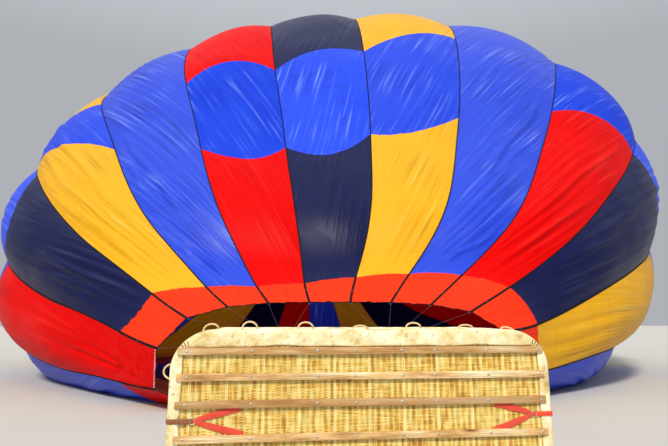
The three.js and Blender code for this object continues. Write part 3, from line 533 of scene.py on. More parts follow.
blueBand = {
    "low": [0.229, 0.250, 0.279, 0.308, 0.320, 0.32, 0.31, 0.30, 0.30, 0.30,
            0.30, 0.30, 0.30, 0.42, 0.42, 0.30, 0.27, 0.336, 0.249, 0.230],
    "high": [0.353, 0.390, 0.431, 0.48, 0.50, 0.50, 0.48, 0.46, 0.46, 0.46,
             0.46, 0.46, 0.46, 0.46, 0.46, 0.45, 0.43, 0.40, 0.366, 0.343],
    "lowStep": {16: -0.034},      # how much lower the band starts at a gore's second seam
    "lowSag": {16: 0.052, 17: 0.012, 18: 0.018, 19: 0.030, 0: 0.034, 1: 0.024, 2: 0.010},
    "highSag": {17: 0.003, 18: 0.003, 19: -0.016, 0: -0.008, 1: -0.006},
}
goreColours = ("navy", "yellow", "blue", "red")
# The last three columns are the strength of the painted shade in the creases' dips, the strength of the
# painted sheen on their ridges, and the colour of that painted sheen
clothColumns = ("colour", "deep", "gloss", "shine", "through", "seam", "dipShade", "ridgeSheen", "pale")
clothTable = {
    "navy": ("#11164a", "#0d113a", 0.36, 1.22, 0.05, 0.3, 0.4, 0.25, "#4c5080"),
    "yellow": ("#f3b81c", "#eaab0e", 0.42, 1.26, 0.20, 0.1, 0.34, 0.45, "#ffdc70"),
    "blue": ("#224eee", "#163cdc", 0.36, 1.42, 0.24, 0.16, 0.62, 0.75, "#7898ff"),
    "red": ("#ee0604", "#e00202", 0.42, 1.13, 0.24, 0.1, 0.25, 0.40, "#ff4438"),
    "orange": ("#fb3a10", "#f4320c", 0.60, 1.22, 0.18, 0.0, 0.0, 0.2, "#ff5a30"),
}
cloth = {name: dict(zip(clothColumns, row)) for name, row in clothTable.items()}
# Long folds: gore, start (t, s), end (t, s), half width and height in metres
longFolds = [
    (18, (0.16, 0.255), (0.44, 0.140), 0.10, 0.070),
    (18, (0.02, 0.285), (0.14, 0.165), 0.10, 0.050),
    (18, (0.03, 0.108), (0.60, 0.042), 0.09, 0.050),
    (18, (0.10, 0.085), (0.50, 0.045), 0.07, 0.035),
    (17, (0.42, 0.420), (0.66, 0.140), 0.16, 0.040),
    (17, (0.06, 0.270), (0.36, 0.070), 0.13, 0.070),
    (17, (0.28, 0.264), (0.08, 0.450), 0.14, 0.026),
    (17, (0.20, 0.300), (0.46, 0.100), 0.12, 0.045),
    (16, (0.50, 0.150), (0.72, 0.038), 0.10, 0.040),
    (16, (0.70, 0.432), (0.20, 0.650), 0.25, 0.050),
    (19, (0.28, 0.290), (0.38, 0.200), 0.08, 0.035),
    (19, (0.03, 0.225), (0.58, 0.160), 0.10, 0.035),
    (0, (0.72, 0.250), (0.60, 0.200), 0.08, 0.025),
    (1, (0.22, 0.220), (0.75, 0.330), 0.10, 0.035),
    (1, (0.72, 0.095), (1.00, 0.160), 0.08, 0.045),
    (2, (0.00, 0.280), (0.42, 0.370), 0.10, 0.045),
    (2, (0.40, 0.180), (0.88, 0.325), 0.11, 0.070),
    (2, (0.60, 0.190), (0.97, 0.290), 0.09, 0.050),
    (2, (0.50, 0.062), (0.95, 0.110), 0.08, 0.045),
    (3, (0.80, 0.300), (0.24, 0.130), 0.11, 0.080),
    (3, (0.90, 0.210), (0.40, 0.075), 0.09, 0.060),
    (3, (0.02, 0.060), (0.18, 0.125), 0.07, 0.035),
    (4, (0.40, 0.400), (0.10, 0.080), 0.22, 0.050),
    (15, (0.30, 0.140), (0.12, 0.040), 0.10, 0.035),
]
# Fans of creases: gore, the corner (t, s) they start from, the place (t, s) their middle points at, the
# angle between creases, their depth and reach in metres
fanFolds = {
    15: {"corner": (0.00, 0.000), "aim": (0.55, 0.200), "spacing": 0.075, "depth": 0.060, "reach": 5.5},
    16: {"corner": (0.05, 0.030), "aim": (0.55, 0.220), "spacing": 0.070, "depth": 0.012, "reach": 4.5},
}
fanOnly = (15,)      # the gores whose fine creases follow the fan too
# The creases' course on each gore: how far they go towards its first seam for each metre along it, at the
# mouth and further up, and over how many metres this changes
creaseCourse = {
    14: (0.2, 0.2, 9), 15: (0.2, 0.1, 9), 16: (0.12, 0.10, 9), 17: (0.12, 0.22, 9), 18: (0.25, 0.50, 9),
    19: (0.15, 0.38, 9), 0: (-0.1, -0.3, 9), 1: (-0.15, -0.40, 9), 2: (-0.25, -0.50, 9), 3: (-0.15, -0.35, 9),
    4: (-0.12, -0.12, 9), 5: (-0.1, -0.1, 9), 6: (-0.2, -0.2, 9),
}
# Fields of fine folds: gore, spacing, height, middle (t, s), reach
fineFolds = [
    (18, 0.30, 0.026, (0.45, 0.34), (0.45, 0.16)),
    (18, 0.24, 0.018, (0.35, 0.13), (0.50, 0.08)),
    (17, 0.30, 0.022, (0.35, 0.24), (0.40, 0.10)),
    (17, 0.22, 0.018, (0.45, 0.14), (0.50, 0.10)),
    (16, 0.26, 0.016, (0.50, 0.10), (0.50, 0.12)),
    (16, 0.42, 0.014, (0.60, 0.40), (0.40, 0.25)),
    (19, 0.30, 0.018, (0.50, 0.34), (0.60, 0.10)),
    (19, 0.26, 0.010, (0.60, 0.22), (0.50, 0.10)),
    (0, 0.28, 0.012, (0.55, 0.30), (0.55, 0.12)),
    (1, 0.28, 0.020, (0.45, 0.31), (0.55, 0.12)),
    (1, 0.22, 0.012, (0.70, 0.12), (0.35, 0.08)),
    (2, 0.30, 0.024, (0.45, 0.33), (0.50, 0.14)),
    (2, 0.22, 0.014, (0.60, 0.14), (0.45, 0.09)),
    (3, 0.30, 0.022, (0.55, 0.22), (0.50, 0.14)),
    (3, 0.20, 0.014, (0.25, 0.09), (0.40, 0.05)),
    (4, 0.34, 0.022, (0.40, 0.30), (0.50, 0.25)),
    (5, 0.36, 0.018, (0.50, 0.26), (0.60, 0.30)),
    (14, 0.40, 0.024, (0.50, 0.20), (0.60, 0.25)),
    (6, 0.40, 0.020, (0.50, 0.30), (0.60, 0.30)),
]


def creaseAcross(gore, across, along):
    # Place across the creases, which keep one value of it: their course is added up from the mouth, where
    # it changes evenly until it reaches its upper value
    low, high, length = creaseCourse.get(gore % envelope["gores"], (0.2, 0.2, 9))
    part = np.minimum(along, length)
    return across + low * part + (high - low) * part ** 2 / (2 * length) + high * (along - part)


def foldHeights(gore, t, s, across, along):
    # Rise of the folds on a gore. A long fold is a ridge between two hollows, (1 - d squared) times a
    # bell of d, d being the distance from its line over its half width, and it fades at both ends. A field
    # of fine folds is a sine over the place across the creases, bent by slow waves, inside a bell
    rise = np.zeros_like(across)
    for number, start, end, width, height in longFolds:
        if number != gore:
            continue
        ends = []
        for place in (start, end):
            column = np.abs(t[0] - place[0]).argmin()
            row = np.abs(s[:, column] - place[1]).argmin()
            ends.append(np.array([across[row, column], along[row, column]]))
        line = ends[1] - ends[0]
        size = np.linalg.norm(line)
        dx, dy = across - ends[0][0], along - ends[0][1]
        part = (dx * line[0] + dy * line[1]) / size ** 2
        wander = 0.4 * width * np.sin(9 * part + gore)
        d = ((dy * line[0] - dx * line[1]) / size + wander) / width
        fade = np.exp(-np.maximum(np.abs(part - 0.5) - 0.32, 0) ** 2 / 0.02)
        rise += height * (1 - d ** 2) * np.exp(-d ** 2) * fade
    place = creaseAcross(gore, across, along)
    for number, spacing, height, middle, reach in fineFolds:
        if number != gore:
            continue
        bend = 0.9 * np.sin(0.8 * along + gore) + 0.6 * np.sin(0.5 * along - 1.3 * place + 2 * gore)
        bell = np.exp(-((t - middle[0]) / reach[0]) ** 2 - ((s - middle[1]) / reach[1]) ** 2)
        swell = 0.6 + 0.4 * np.sin(0.9 * along + 1.1 * place)
        wave = np.sin(2 * np.pi * place / spacing + 1.2 * bend)
        rise += height * bell * swell * (wave - 0.35 * wave ** 2)
    return rise


def fanPlaces(gore, points):
    # Angle and distance of each point about the corner of its gore's fan
    fan = fanFolds[gore % envelope["gores"]]
    ends = [gorePoints(makeRings(np.array([s])), gore, np.array([t]))[0, 0]
            for t, s in (fan["corner"], fan["aim"])]
    along = unit(ends[1] - ends[0])
    reach = points - ends[0]
    side = unit(np.cross(along, gridNormals(points)[points.shape[0] // 3, points.shape[1] // 2]))
    return np.arctan2(reach @ side, reach @ along), np.linalg.norm(reach, axis=-1)


def fanRise(gore, points):
    # Creases of a fan: narrow valleys, minus the exponential of a squared sine over the angle, that fade
    # away from the corner. A slower sine of the angle makes some deeper than others
    if gore % envelope["gores"] not in fanFolds:
        return 0.0
    fan = fanFolds[gore % envelope["gores"]]
    angle, distance = fanPlaces(gore, points)
    fade = np.minimum(distance / 0.5, 1) * np.exp(-(distance / fan["reach"]) ** 2)
    phase = np.pi * angle / fan["spacing"] + 0.8 * np.sin(5 * angle + gore) + 0.3 * np.sin(1.1 * distance)
    deeper = 0.6 + 0.4 * np.sin(23 * angle + 0.7 * distance)
    return -fan["depth"] * fade * deeper * np.exp(-(np.sin(phase) / 0.45) ** 2)


def creaseMap(gore, points, crease):
    # Where the fine creases follow the fan, their map is its angle and distance
    if gore % envelope["gores"] not in fanOnly:
        return crease
    about, distance = fanPlaces(gore, points)
    return places(3.0 * about, 0.8 * distance)


def clothMaterial(name, base, band=None):
    # Ripstop nylon with a thin coat: crisp small folds, a silky gleam and light that comes through
    look = cloth[base]
    material, add = newMaterial(name)
    metres = add("UVMap", uv_map="metres")
    crease = add("UVMap", uv_map="crease")
    slow = add("TexNoise", {"Vector": metres, "Scale": 0.9, "Detail": 3.0})
    colour = add("Mix", {0: slow, 6: look["colour"], 7: look["deep"]}, data_type="RGBA")
    # Colour and strength of the painted sheen on the creases' ridges
    pale, sheenAmount = look["pale"], look["ridgeSheen"]
    if band:
        other = cloth[band]
        panel = add("SeparateXYZ", {0: add("UVMap", uv_map="panel")})
        above = add("Math", {0: panel.outputs["Y"], 1: 1.0}, operation="GREATER_THAN")
        below = add("Math", {0: panel.outputs["Y"], 1: 2.0}, operation="LESS_THAN")
        inside = add("Math", {0: above, 1: below}, operation="MULTIPLY")
        stripe = add("Mix", {0: slow, 6: other["colour"], 7: other["deep"]}, data_type="RGBA")
        colour = add("Mix", {0: inside, 6: colour, 7: stripe}, data_type="RGBA")
        # Inside the band the stripe's own painted sheen colour and strength are used
        pale = add("Mix", {0: inside, 6: pale, 7: other["pale"]}, data_type="RGBA")
        sheenAmount = add("MapRange", {0: inside, 3: sheenAmount, 4: other["ridgeSheen"]})
    # Cross seams 0.7 m apart where the gore's panels are sewn
    place = add("SeparateXYZ", {0: metres})
    turns = add("Math", {0: place.outputs["Y"], 1: 1 / 0.7}, operation="MULTIPLY")
    turns = add("Math", {0: turns}, operation="FRACT")
    sewn = add("Math", {0: turns, 1: 0.035}, operation="LESS_THAN")
    sewn = add("Math", {0: sewn, 1: look["seam"]}, operation="MULTIPLY")
    colour = add("Mix", {0: sewn, 6: colour, 7: "#0a0c20"}, data_type="RGBA")
    # Fine creases 110 mm apart and 3 m long, in groups a few metres wide with smooth cloth between, and a
    # crinkle of 30 mm
    long = add("Mapping", {"Vector": crease, "Scale": (9.0, 0.33, 1.0)})
    long = add("TexNoise", {"Vector": long, "Scale": 1.0, "Detail": 2.5, "Distortion": 0.25})
    short = add("Mapping", {"Vector": crease, "Scale": (30.0, 4.0, 1.0)})
    short = add("TexNoise", {"Vector": short, "Scale": 1.0, "Detail": 2.0})
    height = add("Math", {0: short, 1: 0.15, 2: long}, operation="MULTIPLY_ADD")
    group = add("TexNoise", {"Vector": metres, "Scale": 0.5, "Detail": 1.0})
    group = add("MapRange", {0: group, 1: 0.42, 2: 0.60, 3: 0.12, 4: 1.0})
    height = add("Math", {0: height, 1: group}, operation="MULTIPLY")
    bump = add("Bump", {"Strength": 0.8, "Distance": 0.058, "Height": height})
    # Painted light: a painted sheen makes the ridges paler, as if they caught the sky, and painted shade
    # darkens the dips
    dipShade = add("MapRange", {0: long, 1: 0.30, 2: 0.48, 3: look["dipShade"], 4: 0.0})
    dipShade = add("Math", {0: dipShade, 1: group}, operation="MULTIPLY")
    colour = add("Mix", {0: dipShade, 6: colour, 7: "#7d7d96"}, data_type="RGBA", blend_type="MULTIPLY")
    ridgeSheen = add("MapRange", {0: long, 1: 0.54, 2: 0.72, 3: 0.0, 4: sheenAmount})
    ridgeSheen = add("Math", {0: ridgeSheen, 1: group}, operation="MULTIPLY")
    colour = add("Mix", {0: ridgeSheen, 6: colour, 7: pale}, data_type="RGBA")
    shader = add("BsdfPrincipled", {
        "Base Color": colour, "Roughness": look["gloss"], "IOR": look["shine"], "Normal": bump})
    light = add("BsdfTranslucent", {"Color": colour, "Normal": bump})
    add("OutputMaterial", {"Surface": add("MixShader", {0: look["through"], 1: shader, 2: light})})
    return material


upperGores = [gore % envelope["gores"] for gore in range(envelope["firstUpper"], envelope["lastUpper"] + 1)]
goreGrids = {True: (271, 41), False: (136, 13)}      # rows and columns of an upper gore and of a lower one
goreRings = (100, 300)      # sections as far as the panels are taut, and beyond
goreJoin = (0.0008, 0.014)      # s between a gore and the mouth band, and s over which the folds set in
patternStep = 3.7      # how far apart two gores read the pattern of creases, in metres
lowest = {"gores": 0.002, "tapes": 0.004, "band": 0.003}      # how near the ground each may come
longest = 30.0      # the most that a sheet's side is given as in the printed list of sheets


def goreMaps(points, t, s, gore):
    # The three maps of a gore: metres across and along, the places across and along the creases, and the
    # place against the blue band, which lies between 1 and 2
    across, along = lengths(points, 1), lengths(points, 0)
    across -= across[:, -1:] / 2
    after = (gore + 1) % envelope["gores"]
    step = blueBand["lowStep"].get(gore, 0)
    edges = []
    for first, last, sag in ((blueBand["low"][gore], blueBand["low"][after] + step, blueBand["lowSag"]),
                             (blueBand["high"][gore], blueBand["high"][after], blueBand["highSag"])):
        edges.append(first + (last - first) * t - sag.get(gore, 0) * 4 * t * (1 - t))
    crease = creaseMap(gore, points, places(creaseAcross(gore, across, along), along))
    return {"metres": places(across, along), "crease": crease + patternStep * gore,
            "panel": places(t, 1 + (s - edges[0]) / (edges[1] - edges[0]))}, across, along


def addGores():
    materials = {}
    for colour in goreColours:
        band = None if colour == "blue" else "blue"
        materials[colour] = clothMaterial(f"ripstop nylon {colour}", colour, band)
    sheets = []
    taut = np.linspace(0, envelope["tautEnd"], goreRings[0])
    slack = np.linspace(envelope["tautEnd"], envelope["crownEnd"], goreRings[1])
    rings = makeRings(np.concatenate([taut, slack[1:]]))
    for gore in sorted(range(envelope["gores"]), key=lambda gore: gore not in upperGores):
        rows, columns = goreGrids[gore in upperGores]
        t = np.broadcast_to(np.linspace(0, 1, columns), (rows, columns))
        share = np.linspace(0, 1, rows)[:, None]
        s = (bandEdge(gore, t) - goreJoin[0]) * (1 - share) + envelope["crownEnd"] * share
        points = atS(rings, gorePoints(rings, gore, t[0]), s)
        maps, across, along = goreMaps(points, t, s, gore)
        steady = np.sin(np.pi * t) ** 0.8
        slow = 0.02 * np.sin(1.1 * along + gore) * np.sin(1.7 * across + 2 * gore)
        join = 1 - (1 - np.clip((s - bandEdge(gore, t)) / goreJoin[1], 0, 1)) ** 2
        rise = ((foldHeights(gore, t, s, across, along) + slow) * join + fanRise(gore, points)) * steady
        points = points + gridNormals(points) * rise[..., None]
        points[..., 2] = np.maximum(points[..., 2], lowest["gores"])
        part = gridPart(toFrame(points))
        uvs = {name: values.reshape(-1, 2)[part["quads"].ravel()] for name, values in maps.items()}
        colour = goreColours[gore % 4]
        node = f"gore_{gore + 1:02d}"
        piece = addPiece(f"fabric_{gore + 1:02d}", part, materials[colour], f"{colour}_fabric", [node],
                         uvs=uvs, sharp=None)
        width = (across[:, -1] - across[:, 0]).max()
        flat = (round(float(width), 3), round(float(min(along[-1, columns // 2], longest)), 3))
        area = gridArea(points)
        sheets.append((node, flat, round(area, 2)))
    return sheets


print("gores", addGores())

# Tapes: half width on the gores and on the mouth band, height above the fabric, thickness and rows, and the
# half width of the hem
tape = {"half": 0.015, "bandHalf": 0.023, "lift": 0.008, "thick": 0.006, "rows": 158, "hemHalf": 0.010}


def stripPart(rings, seam, half, lift, thick):
    # A tape on a seam: five columns taken from the two gores beside it, lifted off the fabric, and closed
    # underneath at the tape's thickness
    before, after = [rings["width"][:, gore % envelope["gores"], None] for gore in (seam - 1, seam)]
    points = np.concatenate([gorePoints(rings, seam - 1, 1 - half * np.array([[1.0, 0.5]]) / before),
                             gorePoints(rings, seam, half * np.array([[0.0, 0.5, 1.0]]) / after)], axis=1)
    normal = gridNormals(points)
    loop = np.concatenate([points + normal * lift, (points + normal * (lift - thick))[:, ::-1]], axis=1)
    loop[..., 2] = np.maximum(loop[..., 2], lowest["tapes"])
    part = gridPart(toFrame(loop), ring=True)
    for row in (0, len(rings["s"]) - 1):
        k = row * 10 + np.arange(10)
        end = np.stack([k[0:4], k[1:5], k[8:4:-1], k[9:5:-1]], axis=1)
        part["quads"] = np.concatenate([part["quads"], end if row else end[:, ::-1]])
    return part


def addTapes():
    low = np.linspace(0.0005, 0.06, 40)
    rings = makeRings(np.concatenate([low, np.linspace(0.06, envelope["crownEnd"], tape["rows"])[1:]]))
    parts = []
    for seam in range(envelope["gores"]):
        onBand = (rings["s"] < envelope["bandEdges"][seam])[:, None]
        half = np.where(onBand, tape["bandHalf"], tape["half"])
        parts.append(stripPart(rings, seam, half, tape["lift"], tape["thick"]))
    addPiece("load_tapes", merged(parts), blackTape, "black_tape", sharp=60)


addTapes()
print("load tapes")


def addMouthBand():
    # The band round the mouth: flat panels between the seams in two strips, orange above and red below,
    # each a grid, with a rolled hem round both. A ripple of two sines crosses each panel
    share = np.concatenate([[0.0, 0.03], np.linspace(0.075, 1, 14)])[:, None]
    rings = makeRings(np.linspace(0, 0.06, 61))
    orange = clothMaterial("aramid fabric orange", "orange")
    red = bpy.data.materials["ripstop nylon red"]
    hem = []
    for name, first, last, columns, material, slot in (
            ("mouth_fabric", 16, 27, 40, orange, "orange_fabric"),
            ("mouth_fabric_lower", 8, 15, 12, red, "red_fabric")):
        grids, maps = [], []
        for gore in range(first, last + 1):
            wide = columns + (gore == last)
            t = np.broadcast_to(np.arange(wide) / columns, (len(share), wide))
            s = bandEdge(gore, t) * share
            points = atS(rings, gorePoints(rings, gore, t[0]), s)
            maps.append(creaseMap(gore, points, places(t * 1.1 + patternStep * gore, share * 1.3)))
            ripple = 0.008 * np.sin(14 * t + 60 * s + gore) + 0.006 * np.sin(31 * t - 90 * s)
            ripple = ripple * np.sin(np.pi * t) ** 2 * (1 - share ** 6)
            fan = fanRise(gore, points) * np.sin(np.pi * t) ** 0.8
            grids.append(points + gridNormals(points) * (ripple + fan)[..., None])
        points = np.concatenate(grids, axis=1)
        points[..., 2] = np.maximum(points[..., 2], lowest["band"])
        metres = places(np.arange(points.shape[1])[None] * 1.1 / columns, share * 1.2)
        part = gridPart(toFrame(points))
        corners = part["quads"].ravel()
        uvs = {label: values.reshape(-1, 2)[corners]
               for label, values in (("metres", metres), ("crease", np.concatenate(maps, axis=1)))}
        uvs["panel"] = np.zeros((len(corners), 2))
        piece = addPiece(name, part, material, slot, ["mouth_band"], uvs=uvs, sharp=None)
        hem.append(points[:, :-1])
    points = toFrame(np.concatenate(hem, axis=1))
    profile = circle(1.0, 8) * (0.006, tape["hemHalf"])
    addPiece("mouth_hem", sweep(points[0], profile, unit(points[3] - points[0]), ring=True), blackTape,
             "black_tape")


addMouthBand()
print("mouth band")

# The basket, in its own axes: x along it from its middle, y from its underside, z up from the ground

basket = {
    "corner": 0.34,           # radius of the outline's corners
    "wallInset": 0.018,       # from the outline to the outside of the weave
    "floorFront": 0.0298,     # y of the woven underside and of the floor inside
    "floorBack": 0.058,
    "wallFoot": 0.0585,       # y where the wall starts and ends
    "wallTop": 1.105,
    "rimRadius": 0.046,
    "windowSide": 0.10,       # the opening in the hide: its distance from the sides and from the low and
    "windowEdge": 0.145,      # high edges, and the radius of its corners
    "windowCorner": 0.06,
}
window = (basketHalf - basket["windowSide"], basketMiddle - basket["windowEdge"], basket["windowCorner"])


def addInBasket(name, parts, *finish, **settings):
    # A piece from parts that are in the basket's axes
    part = merged(parts)
    part["points"] = part["points"] + (middleX, undersideY, 0.0)
    return addPiece(name, part, *finish, **settings)


def roundLoop(halfX, halfZ, radius, turn):
    # Rounded rectangle about the basket's middle. turn runs from 0 to 8 in straights and corners, from the
    # middle of the lower side: on a straight the arc's centre moves, on a corner the angle does
    wide, high = halfX - radius, halfZ - radius
    knots = np.arange(10) - 0.5
    knots[0], knots[9] = 0, 8
    x = np.interp(turn, knots, [0, wide, wide, wide, wide, -wide, -wide, -wide, -wide, 0])
    z = np.interp(turn, knots, [-high, -high, -high, high, high, high, high, -high, -high, -high])
    angle = np.radians(np.interp(turn, knots, [-90, -90, 0, 0, 90, 90, 180, 180, 270, 270]))
    return places(x + radius * np.cos(angle), z + basketMiddle + radius * np.sin(angle))


def basketLoop(inset, turn):
    return roundLoop(basketHalf - inset, basketMiddle - inset, basket["corner"] - inset, turn)


def evenTurns(inset, count):
    # Values of turn that lie evenly along the basket's outline, and the length up to each
    fine = np.linspace(0, 8, 4001)
    length = lengths(basketLoop(inset, fine), 0)
    around = np.arange(count) / count * length[-1]
    return np.interp(around, length, fine), around


def weave(along, row, pitch):
    # Rise of woven willow between -1 and 1, and its painted shade between -1 and 1. Along a row the weaver
    # goes over one stake and under the next, as a cosine, and is painted a little darker where it passes
    # under. The rows between two weavers are gaps, painted in shade only by a stake, and how dark that
    # painted shade is changes from stake to stake more than from row to row
    crest = row % 2 == 1
    swing = np.cos(np.pi * (along / pitch + (row - 1) // 2))
    near = np.abs(np.cos(np.pi * along / pitch)) ** 3
    stake = np.floor(along / pitch + 0.25)
    loose = 0.5 + 0.35 * np.sin(1.7 * stake + 0.9 * np.sin(0.11 * row)) + 0.15 * np.sin(2.9 * row + stake)
    shade = np.where(crest, 0.75 + 0.25 * swing, 0.15 - (0.35 + 0.95 * loose) * near)
    return np.where(crest, swing, -0.3), shade, crest


def evenWeave(columns, row):
    # The weave where two columns lie on each stake: how far it stands out, and its shade
    swing, shade, crest = weave(np.arange(columns)[None] * 0.5, row[:, None], 1.0)
    return np.where(crest, swing, -0.75), shade


wicker = {
    "gold": "#e2bc54",
    "straw": "#f4e294",
    "brown": "#c08c38",
    # Colour of the painted shade in the gaps between weavers and where they pass under
    "gap": "#3c2d0e",
    # The underside: from weaver to weaver, from stake to stake, how far the weave rises and y of its back
    "underPitch": 0.0103,
    "underStake": 0.049,
    "underDepth": 0.0035,
    "underBack": 0.044,
    "underClear": (0.002, 0.06),                 # from its edge to the wall, along and across the basket
    "stakeRadius": 0.0045,
    # The wall
    "wallPitch": 0.014,
    "wallStake": 0.045,
    "wallDepth": 0.0035,
    "wallFaces": ((0.022, 1), (0.045, -1)),      # inset of each face, and which way it looks
    "wallColumns": 392,
    # The floor inside, and y of its back
    "floorPitch": 0.02,
    "floorDepth": 0.004,
    "floorInset": 0.05,
    "floorUnder": 0.0455,
    "deepShade": -0.8,                           # the shade of what lies behind the weave
}


def wickerMaterial():
    # Peeled willow, woven: round shiny rods whose colour changes from rod to rod, with painted shade between
    # them
    material, add = newMaterial("peeled willow weave")
    strand = add("UVMap", uv_map="strand")
    rise = add("Attribute", attribute_name="weaveShade").outputs["Fac"]
    rods = add("Mapping", {"Vector": strand, "Scale": (1.6, 0.37, 1.0)})
    rods = add("TexNoise", {"Vector": rods, "Scale": 1.0, "Detail": 2.0})
    # The sets of stakes differ in colour too, in upright bands 40 mm wide
    bands = add("Mapping", {"Vector": strand, "Scale": (13.0, 0.03, 1.0)})
    bands = add("TexNoise", {"Vector": bands, "Scale": 1.0, "Detail": 1.0})
    rods = add("Mix", {0: 0.55, 2: rods, 3: bands})
    tone = add("ValToRGB", {0: rods},
               stops=[(0.38, wicker["brown"]), (0.48, wicker["gold"]), (0.60, wicker["straw"])])
    # Painted shade: the weave's shade field darkens the rods towards the gap colour, in the gaps by the
    # stakes and where a weaver passes under
    depth = add("MapRange", {0: rise, 1: -0.8, 2: 0.35})
    colour = add("Mix", {0: depth, 6: wicker["gap"], 7: tone}, data_type="RGBA")
    grain = add("Mapping", {"Vector": strand, "Scale": (40.0, 6.0, 1.0)})
    grain = add("TexNoise", {"Vector": grain, "Scale": 1.0, "Detail": 3.0})
    bump = add("Bump", {"Strength": 0.3, "Distance": 0.001, "Height": grain})
    shader = add("BsdfPrincipled", {"Base Color": colour, "Roughness": 0.45, "IOR": 1.45, "Normal": bump})
    add("OutputMaterial", {"Surface": shader})
    return material


willowWeave = wickerMaterial()


def wovenSlab(name, points, x, shade, back, replaced=(), flip=False):
    # A woven grid closed behind: its edge is carried straight to a flat back, which is a fan
    rows, columns = shade.shape
    part = gridPart(points, flip=flip)
    strand = places(x[0, part["cells"][:, 1]] * 2, part["cells"][:, 0])
    edge = np.concatenate([np.arange(columns), np.arange(1, rows) * columns + columns - 1,
                           (rows - 1) * columns + np.arange(columns - 2, -1, -1),
                           np.arange(rows - 2, 0, -1) * columns])
    first = len(part["points"])
    k = np.arange(len(edge))
    after = (k + 1) % len(edge)
    sides = np.stack([edge[after], edge[k], first + k, first + after], axis=1)
    fan = np.stack([first + after, first + k, np.full(len(k), first + len(k))], axis=1)
    if flip:
        sides, fan = sides[:, ::-1], fan[:, ::-1]
    rim = part["points"][edge] * (1, 0, 1) + (0, back, 0)
    part["points"] = np.concatenate([part["points"], rim, [[0, back, basketMiddle]]])
    part["quads"], part["tris"] = np.concatenate([part["quads"], sides]), fan
    strand = np.concatenate([strand, np.zeros((sides.size + fan.size, 2))])
    # Painted shade for each point: the weave's, and the deepest on the sides and the back
    weaveShade = np.concatenate([shade.ravel(), np.full(len(k) + 1, wicker["deepShade"])])
    addInBasket(name, [part], willowWeave, "wicker", replaced, uvs={"strand": strand},
                fields={"weaveShade": weaveShade}, sharp=None)


def addUnderside():
    # The woven underside: a grid with two rows for each weaver and four columns for each stake, and a flat
    # back. Its edge is clamped to the rounded outline
    clearX, clearZ = wicker["underClear"]
    halfX = basketHalf - basket["wallInset"] - clearX
    low = basket["wallInset"] + clearZ
    rows = round((basketHeight - 2 * low) / wicker["underPitch"]) * 2 + 1
    count = round(2 * halfX / wicker["underStake"])
    z = np.linspace(low, basketHeight - low, rows)[:, None]
    x = np.linspace(-halfX, halfX, count * 4 + 1)[None]
    row = np.arange(rows)[:, None]
    # shade is the weave's painted shade
    swing, shade, crest = weave(x, row, wicker["underStake"])
    wander = 0.0012 * np.sin(9 * x + 0.35 * row) + 0.0008 * np.sin(23 * x - 0.2 * row)
    radius = basket["corner"] - basket["wallInset"]
    rise = np.maximum(np.abs(z - basketMiddle) - (basketMiddle - basket["corner"]), 0)
    reach = halfX - radius + np.sqrt(radius ** 2 - rise ** 2)
    depth = wicker["underDepth"]
    front = basket["floorFront"] + depth - depth * swing * crest + ~crest * depth * 0.9
    wovenSlab("underside_weave", places(np.clip(x, -reach, reach), front, z + wander), x, shade,
              wicker["underBack"], ["basket_floor"])
    # Stakes show where a weaver passes behind them. Every sixth is a thick pair
    stakes = {"thin": [], "thick": []}
    for k in range(1, count):
        place = -halfX + 2 * halfX * k / count
        top = np.interp(abs(place), [halfX - radius, halfX], [basketMiddle - low, 0.40])
        line = np.linspace(-top, top, 6)
        kind, offsets, size = ("thick", (-0.0062, 0.0062), 1.0) if k % 6 == 3 else ("thin", (0.0,), 0.85)
        for side in offsets:
            path = places(place + side + 0.001 * np.sin(5 * line + k), 0.0368, basketMiddle + line)
            stakes[kind].append(sweep(path, circle(wicker["stakeRadius"] * size, 6), (0, -1, 0)))
    addInBasket("underside_stakes_thin", stakes["thin"], goldWillow, "wicker")
    addInBasket("underside_stakes_thick", stakes["thick"], paleWillow, "wicker")


def addWall():
    # A closed wall between two loops: up the outside, over the top and down the inside, where the rows lie
    # twice as far apart. Both faces carry the weave's rise
    count = wicker["wallColumns"]
    turns = evenTurns(0.02, count)[0]
    bottom, top = basket["wallFoot"], basket["wallTop"]
    rows = round((top - bottom) / wicker["wallPitch"]) * 2 + 1
    inner = rows // 4 * 2 + 1
    heights = np.concatenate([np.linspace(bottom, top, rows), np.linspace(top, bottom, inner)])
    # shade is the weave's painted shade, darkest in the gaps by the stakes
    offset, shade = evenWeave(count, np.concatenate([np.arange(rows), np.arange(inner)]))
    outer = (np.arange(rows + inner) < rows)[:, None, None]
    faces = []
    for inset, sign in wicker["wallFaces"]:
        loop = basketLoop(inset, turns)
        step = unit(np.roll(loop, -1, axis=0) - np.roll(loop, 1, axis=0))
        out = places(step[:, 1], -step[:, 0]) * sign
        faces.append(loop + out * (offset * wicker["wallDepth"])[..., None])
    plan = np.where(outer, *faces)
    part = gridPart(places(plan[..., 0], heights[:, None], plan[..., 1]), ring=True, flip=True, around=True)
    strand = places(part["cells"][:, 1] * wicker["wallStake"], part["cells"][:, 0])
    addInBasket("wall_weave", [part], willowWeave, "wicker", ["basket_wall"], uvs={"strand": strand},
                fields={"weaveShade": shade.ravel()}, sharp=None)


